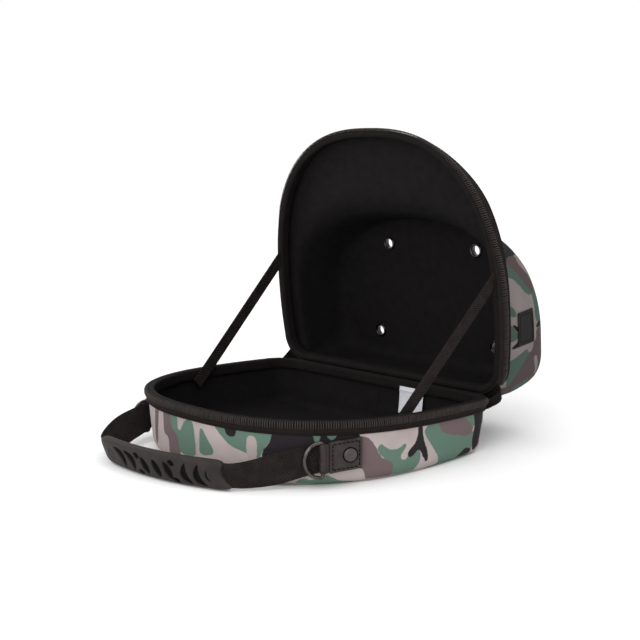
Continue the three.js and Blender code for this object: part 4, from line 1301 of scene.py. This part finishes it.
def snap_piece(side, name):
    """Flat snap cap in a sunken ring, on the tab's face; the ring is black thread, painted shade of the
    groove.
    """
    out = plate_face(SNAP_ALONG, 0.0)[0] + 0.6
    at = beside_tray(side, SNAP_ALONG, out, tab_z(SNAP_ALONG))
    axis = unit(beside_tray(side, SNAP_ALONG, out + 1, tab_z(SNAP_ALONG)) - at)
    across = unit(np.cross(UP, axis))

    def place(points):
        return at + points @ np.array([across, UP, axis])

    add_piece(name + "_cap", lathe(SNAP_CAP, 48, place), SNAP_ENAMEL, "gunmetal", name)
    # Painted shade: a black ring round the cap, where the groove's shade falls.
    add_piece(name + "_groove_shade", lathe(SNAP_GROOVE_SHADE, 48, place), THREAD, "gunmetal")


def ring_piece(side, name):
    """D-ring: a straight bar in the tab's fold and a round bow over the strap."""
    start = beside_tray(side, TAB_LENGTH, WEB_THICKNESS / 2, 0)
    first = np.array(STRAP_FREE[side][0][:3], float)
    lead = unit((first - start) * [1, 1, 0])
    outward = np.array([-side * lead[1], side * lead[0], 0.0])
    cos, sin = math.cos(RING_SWING[side]), math.sin(RING_SWING[side])
    lead, outward = lead * cos + outward * sin, outward * cos - lead * sin
    bar = beside_tray(side, RING_BAR_ALONG, RING_BAR_OUT, RING_Z[side])
    flat = [(0, level) for level in np.linspace(RING_HALF - 2.5, -RING_HALF + 2.5, 14)]
    flat += [(0.7, -RING_HALF + 0.8), (RING_BOW_START, -RING_HALF + 0.05)]
    for turn in np.linspace(-0.42, 0.42, 33) * math.pi:
        reach = RING_BOW_START + (RING_REACH - RING_BOW_START) * math.cos(turn)
        flat.append((reach, RING_HALF * math.sin(turn)))
    flat += [(RING_BOW_START, RING_HALF - 0.05), (0.7, RING_HALF - 0.8), flat[0]]
    path = resample([bar + lead * reach + UP * level for reach, level in flat], 121)[:-1]
    ups = unit(np.cross(tangents(path, True), outward))
    points, faces, _ = sweep(path, outward, ups, circle(14) * RING_WIRE, True)
    add_piece(name + "_wire", (points, faces, None), GUNMETAL, "gunmetal", name)


# Lens-shaped slots in the grip's face: along, up, length, width, slant in degrees and bow
GRIP_SLOTS = [
    (-43, -0.9, 23, 7.8, 127, -4.8), (-29, -1.1, 21.5, 7.8, 126, -4.6),
    (-8, -1.6, 17.5, 7.6, 119, 0), (6, -1.6, 17.5, 7.6, 119, 0), (19, -1.6, 17.5, 7.6, 119, 0),
    (41, -1.1, 19.5, 7.0, 113, 5.4), (54, -1.1, 20, 7.0, 113, 5.4), (61.5, -1.0, 10, 2.2, 108, 2.6),
    (-17.5, 6.2, 7.5, 5.2, 165, 0), (-14, -9.0, 7.5, 4.8, 165, 0),
    (23, 6.0, 7.5, 5.2, 165, 0), (27.5, -9.2, 7.5, 4.8, 165, 0),
]
# Shallow oval ring near the grip's left end, in the same terms
GRIP_MARK = (-57, 0, 11, 6, 115, 0)
GRIP_END = 14.0
MOUTH_REACH = 30.0
SLOT_DEPTH = 2.2
MARK_DEPTH = 0.6
# Field value of places with no slot
NO_SLOT = 5.0


def lens_field(along, up, centre, level, length, width, slant, bow):
    """Signed distance, near enough, to a bowed lens shape; negative inside."""
    turn = math.radians(slant)
    a = (along - centre) * math.cos(turn) + (up - level) * math.sin(turn)
    b = (up - level) * math.cos(turn) - (along - centre) * math.sin(turn)
    round_off = 1 - (a / (length / 2)) ** 2
    across = np.abs(b - bow * np.maximum(round_off, 0)) - width / 2 * np.maximum(round_off, 0) ** 0.7
    past = np.maximum(np.abs(a) - length / 2, 0)
    return np.where(past > 0, np.hypot(past, np.abs(b)), across)


def mouth_shift(along, up):
    """How far the grip's right end runs past or short of square, hollow at its middle and longer below."""
    share = np.maximum(along - (GRIP_LENGTH / 2 - MOUTH_REACH), 0) / MOUTH_REACH
    level = up / (GRIP_HEIGHT / 2)
    return share ** 1.5 * (2.5 - 5 * level - 7 * (1 - np.minimum(level ** 2, 1)))


def grip_section():
    """Evenly spaced points round the grip's section, (out, up)."""
    loop = np.linspace(0, 2 * np.pi, 200)
    ring = squared_circle(np.column_stack([np.cos(loop), np.sin(loop)]))
    return resample(ring * [GRIP_DEPTH / 2, GRIP_HEIGHT / 2], 161)[:-1]


def mouth_lips(rows, end, inner):
    """Two smaller rings that turn one end of the grip inwards round the strap."""
    edge = rows[end]
    middle = edge.mean(axis=0)
    into = (rows[inner] - edge).mean(axis=0)
    return [middle + (edge - middle) * 0.88, middle + (edge - middle) * 0.8 + into]


def grip_piece():
    """Moulded sleeve: rounded section, tapered ends with a mouth for the strap, slots cut into its face."""
    half = GRIP_LENGTH / 2
    bow = 1 - np.cos(np.linspace(0, math.pi / 2, 24))
    stations = np.concatenate([
        -half + GRIP_END * bow,
        np.linspace(-half + GRIP_END, half - GRIP_END, 200)[1:-1],
        half - GRIP_END * bow[::-1],
    ])
    ring = grip_section()
    front = smooth_step(ring[:, 0], GRIP_DEPTH * 0.28, GRIP_DEPTH * 0.42)
    rows, slots = [], []
    for along in stations:
        past = max(abs(along) - (half - GRIP_END), 0) / GRIP_END
        round_off = math.sqrt(max(1 - past ** 2.2, 0))
        up = ring[:, 1] * (0.72 + 0.28 * round_off)
        place = np.full(len(up), along)
        field = np.min([lens_field(place, up, *slot) for slot in GRIP_SLOTS], axis=0)
        slot_depth = SLOT_DEPTH * smooth_step(-field, -0.4, 0.6) * front
        mark = np.abs(lens_field(place, up, *GRIP_MARK))
        mark_depth = MARK_DEPTH * (1 - smooth_step(mark, 0.3, 0.9)) * front
        out = ring[:, 0] * (0.4 + 0.6 * round_off) - slot_depth - mark_depth
        rows.append(bent(place + mouth_shift(place, up), out, up))
        slots.append(np.where(front > 0.5, field, NO_SLOT))
    rows = mouth_lips(rows, 0, 6)[::-1] + rows + mouth_lips(rows, -1, -7)
    plain = [np.full(len(ring), NO_SLOT)] * 2
    points = np.vstack(rows)
    points[:, 2] = np.maximum(points[:, 2], GRIP_LOWEST)
    faces = grid(len(rows), len(ring), True) + end_caps(len(rows), len(ring))
    fields = {"slot": np.concatenate(plain + slots + plain)}
    add_piece("grip_sleeve", (points, faces, None), RUBBER, "grip_rubber", "grip", fields=fields)


# Stays, hinge, label, patch and slider

STAY_WIDTH = 13.0
STAY_THICKNESS = 1.2
STAY_TAIL = 21.0
STAY_TURN_IN = 7.0
# Where a stay crosses each rim: place across, distance from the hinge and, on the lid, depth
STAY_LOW = (137.6, 120.0)
STAY_HIGH = (145.0, 113.75, -0.5)
HINGE_HALF = 126.0
HINGE_HALF_THICKNESS = 0.6
HINGE_TOP = TRAY_HEIGHT - 3.7
# Middle line of the hinge strip: back from the hinge line and up from the strip's top
HINGE_LINE = [
    (-3.1, -22), (-3.1, -8), (-2.8, -1.5), (0, 0.9), (4, 1.2), (8, 0.9), (13, -0.7), (18, -2.6), (22, -4.6),
]
# Fold of the cloth at the right hinge corner, from the side to the back
CORNER_FOLD = [
    (146, 128, 56), (145.5, 132, 48.5), (140, 135, 43.5), (133.5, 135.5, 39.5), (124, 135.5, 34.8),
    (108, 135, 32),
]
CORNER_START = 15.0
CORNER_END = 108.0
CORNER_OUT = 1.4
CORNER_TUCK = 4.0
CORNER_HALF_THICKNESS = 0.5
CORNER_RIB = 0.25
LABEL_EXTRA = 4.0
LABEL_THICKNESS = 0.35
PATCH_DISTANCE = 60.0
PATCH_DEPTH = 50.0
PATCH_LENGTH = 33.0
PATCH_HEIGHT = 27.0
PATCH_BACK = 0.2
PATCH_FACE = 1.0
PATCH_HEM = 0.35
PATCH_STITCH = (2.0, 0.8, 0.3)
PATCH_STITCH_INSET = 3.2
# Half sizes of the slider's body, out and up, and of its pull, out and across
SLIDER_BODY = (1.9, 4.4)
SLIDER_PULL = (0.75, 2.2)
SLIDER_DROP = 4.5
SLIDER_IN = 2.0
PULL_IN = 0.8
PULL_SWELL = 0.8


def stay_piece(side, name):
    """Flat webbing pulled straight from the tray's lining to the lid's rim."""
    x, distance = STAY_LOW
    rim = np.array([side * x, HINGE_Y - distance, rim_height(-distance)])
    x, distance, depth = STAY_HIGH
    high = lid_world([side * x, -distance, depth])
    along = unit(high - rim)
    low = rim - along * STAY_TAIL
    high = high + along * STAY_TURN_IN
    up = unit(np.cross(along, ACROSS))
    path = low + (high - low) * np.linspace(0, 1, 90)[:, None]
    shape = sweep(path, np.cross(along, up), up, strap_section(STAY_WIDTH, STAY_THICKNESS))
    made = add_piece(name + "_webbing", shape, WEBBING, "webbing", name)


def hinge_piece():
    """Woven strip from the tray's back wall round to the lid's underside."""
    middle = curve_through(np.array(HINGE_LINE) + [0, HINGE_TOP], 40)
    normal = side_normals(middle) * HINGE_HALF_THICKNESS
    loop = np.vstack([middle + normal, (middle - normal)[::-1]])
    xs = np.linspace(-HINGE_HALF, HINGE_HALF, 120)
    sections = np.repeat(loop[None], len(xs), axis=0)
    sections[:, :, 1] += (0.25 * np.sin(xs / 17) + 0.15 * np.sin(xs / 7.3))[:, None]
    shape = sweep(xs[:, None] * ACROSS + BACK * HINGE_Y, BACK, UP, sections)
    made = add_piece("hinge_cloth", shape, RIBBED_TAPE, "webbing", "hinge_strip")
    flat = (2 * HINGE_HALF * MM, run_along(middle)[-1] * MM)


def corner_piece(side, name):
    """Cloth that closes the zip's end between the rims of tray and lid, bulging out at the corner."""
    rows, columns = 48, 25
    ring = d_ring(outline_row(RIM_INSET - CORNER_OUT), RIM_STATIONS)
    corner = ring[(ring[:, 0] > CORNER_END) & (-ring[:, 1] < CORNER_START)]
    corner = resample(corner, rows) * [side, 1]
    first = tray_world(np.column_stack([corner, rim_height(corner[:, 1]) - CORNER_TUCK]))
    fold = curve_through(CORNER_FOLD, rows) * [side, 1, 1]
    last = lid_world(np.column_stack([corner, np.full(rows, CORNER_TUCK)]))
    share = np.linspace(0, 1, columns)[None, :, None]
    first, middle, last = first[:, None], fold[:, None], last[:, None]
    sheet = first * (1 - share) * (1 - 2 * share) + middle * 4 * share * (1 - share)
    sheet = sheet + last * share * (2 * share - 1)
    normal = unit(np.cross(np.gradient(sheet, axis=0), np.gradient(sheet, axis=1)))
    run = run_along(fold)
    cloth = cloth_grid(run, run_along(sheet[rows // 2]))
    sheet = sheet + normal * (CORNER_RIB * np.cos(run * 2 * math.pi / RIB_PITCH))[:, None, None]
    thick = normal * CORNER_HALF_THICKNESS
    front, back = (sheet + thick).reshape(-1, 3), (sheet - thick).reshape(-1, 3)
    made = add_piece(name, two_sided(front, back, rows, columns, cloth), RIBBED_TAPE, "webbing")


def node_box(node):
    """Lowest and highest corner of a CAD node."""
    return [np.array(corner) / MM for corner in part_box(node)]


def label_piece():
    """White label hanging at the hinge, curled at its free corner."""
    low, high = node_box("care_label")
    width, height = high[0] - low[0] + LABEL_EXTRA, high[2] - low[2]
    columns, rows = 28, 24
    drop, across = cloth_grid(np.linspace(0, 1, rows), np.linspace(0, 1, columns)).T
    curl = 2.2 * drop ** 2 + 0.9 * drop * np.sin(across * 5.0) + 1.8 * smooth_step(across, 0.6, 1.0) * drop
    fold = 0.8 * (1 - smooth_step(np.abs(drop - 0.14), 0.0, 0.06))
    front = np.column_stack([low[0] + width * across, low[1] + 0.15 - curl - fold, high[2] - height * drop])
    cloth = np.column_stack([width * across, height * drop])
    shape = two_sided(front, front + BACK * LABEL_THICKNESS, rows, columns, cloth)
    made = add_piece("label_cloth_piece", shape, LABEL_CLOTH, "label_cloth", "care_label")


def on_dome_side(along, up, lift):
    """Lid places over the dome's right side: along and up from the patch's middle, and off the cloth."""
    distance, depth = PATCH_DISTANCE + along, PATCH_DEPTH + up
    foot, head = (dict(zip(LID_COLUMNS, LID_ROWS[k])) for k in (DOME_FOOT, DOME_HEAD))
    share = (depth - foot["z"]) / (head["z"] - foot["z"])
    half = half_width(foot, distance) * (1 - share) + half_width(head, distance) * share
    return lid_world(np.column_stack([half + lift, -distance, depth]))


def patch_piece():
    """Plain sewn patch on the lid's right side with a raised edge and a stitched border."""
    steps = 29
    shares = np.linspace(-0.5, 0.5, steps)
    cloth = cloth_grid(shares * PATCH_LENGTH, shares * PATCH_HEIGHT)
    edge = np.abs(cloth_grid(shares, shares)).max(axis=1) * 2
    hem = PATCH_HEM * smooth_step(edge, 0.84, 0.9) * (1 - smooth_step(edge, 0.94, 1.0))
    front = on_dome_side(*cloth.T, PATCH_FACE + hem)
    shape = two_sided(front, on_dome_side(*cloth.T, PATCH_BACK), steps, steps, cloth)
    made = add_piece("patch_cloth_piece", shape, PATCH_CLOTH, "patch_cloth", "side_patch")
    a, b = PATCH_LENGTH / 2 - PATCH_STITCH_INSET, PATCH_HEIGHT / 2 - PATCH_STITCH_INSET
    border = along_sides([(-a, -b), (a, -b), (a, b), (-a, b)], 16)
    path = on_dome_side(*border.T, PATCH_FACE + STITCH_LIFT)
    stitches = stitch_row(path, np.tile(ACROSS, (len(path), 1)), *PATCH_STITCH)
    add_piece("patch_stitches", stitches, THREAD, "patch_cloth")


def slider_piece():
    """Zip slider with a flat pull, parked at the far end of the tray's zip."""
    low, high = node_box("zip_slider")
    middle, half_length = (low[1] + high[1]) / 2, (high[1] - low[1]) / 2
    level = high[2] - SLIDER_DROP
    ring = squared_circle(circle(24))
    path, sections = [], []
    for share in np.linspace(-1, 1, 15):
        path.append((high[0] - SLIDER_IN, middle + share * half_length, level))
        sections.append(ring * SLIDER_BODY * (1 - 0.25 * share ** 2) * (0.75 if abs(share) == 1 else 1))
    body = sweep(path, ACROSS, UP, sections)
    path, sections = [], []
    for share in np.linspace(0, 1, 15):
        path.append((low[0] + PULL_IN, middle, level - share * (level - low[2])))
        swell = PULL_SWELL * math.sin(math.pi * min(share * 1.2, 1))
        sections.append(ring * (np.array(SLIDER_PULL) + [0, swell]))
    pull = sweep(path, ACROSS, BACK, sections)
    points, faces, _ = join_parts([body, pull])
    add_piece("slider_and_pull", (points, faces, None), GUNMETAL, "gunmetal", "zip_slider")


camera()
floor()
light()
tray_pieces()
lid_pieces()
for half in RIMS:
    zip_pieces(half)
for half in RIMS:
    binding_piece(half)
eyelet_pieces()
for side, word in ((-1, "left"), (1, "right")):
    tab_piece(side, "tab_" + word)
    snap_piece(side, "rivet_" + word)
    ring_piece(side, "d_ring_" + word)
    stay_piece(side, "stay_" + word)
    corner_piece(side, "hinge_corner_" + word)
grip_piece()
carry_strap()
hinge_piece()
label_piece()
patch_piece()
slider_piece()
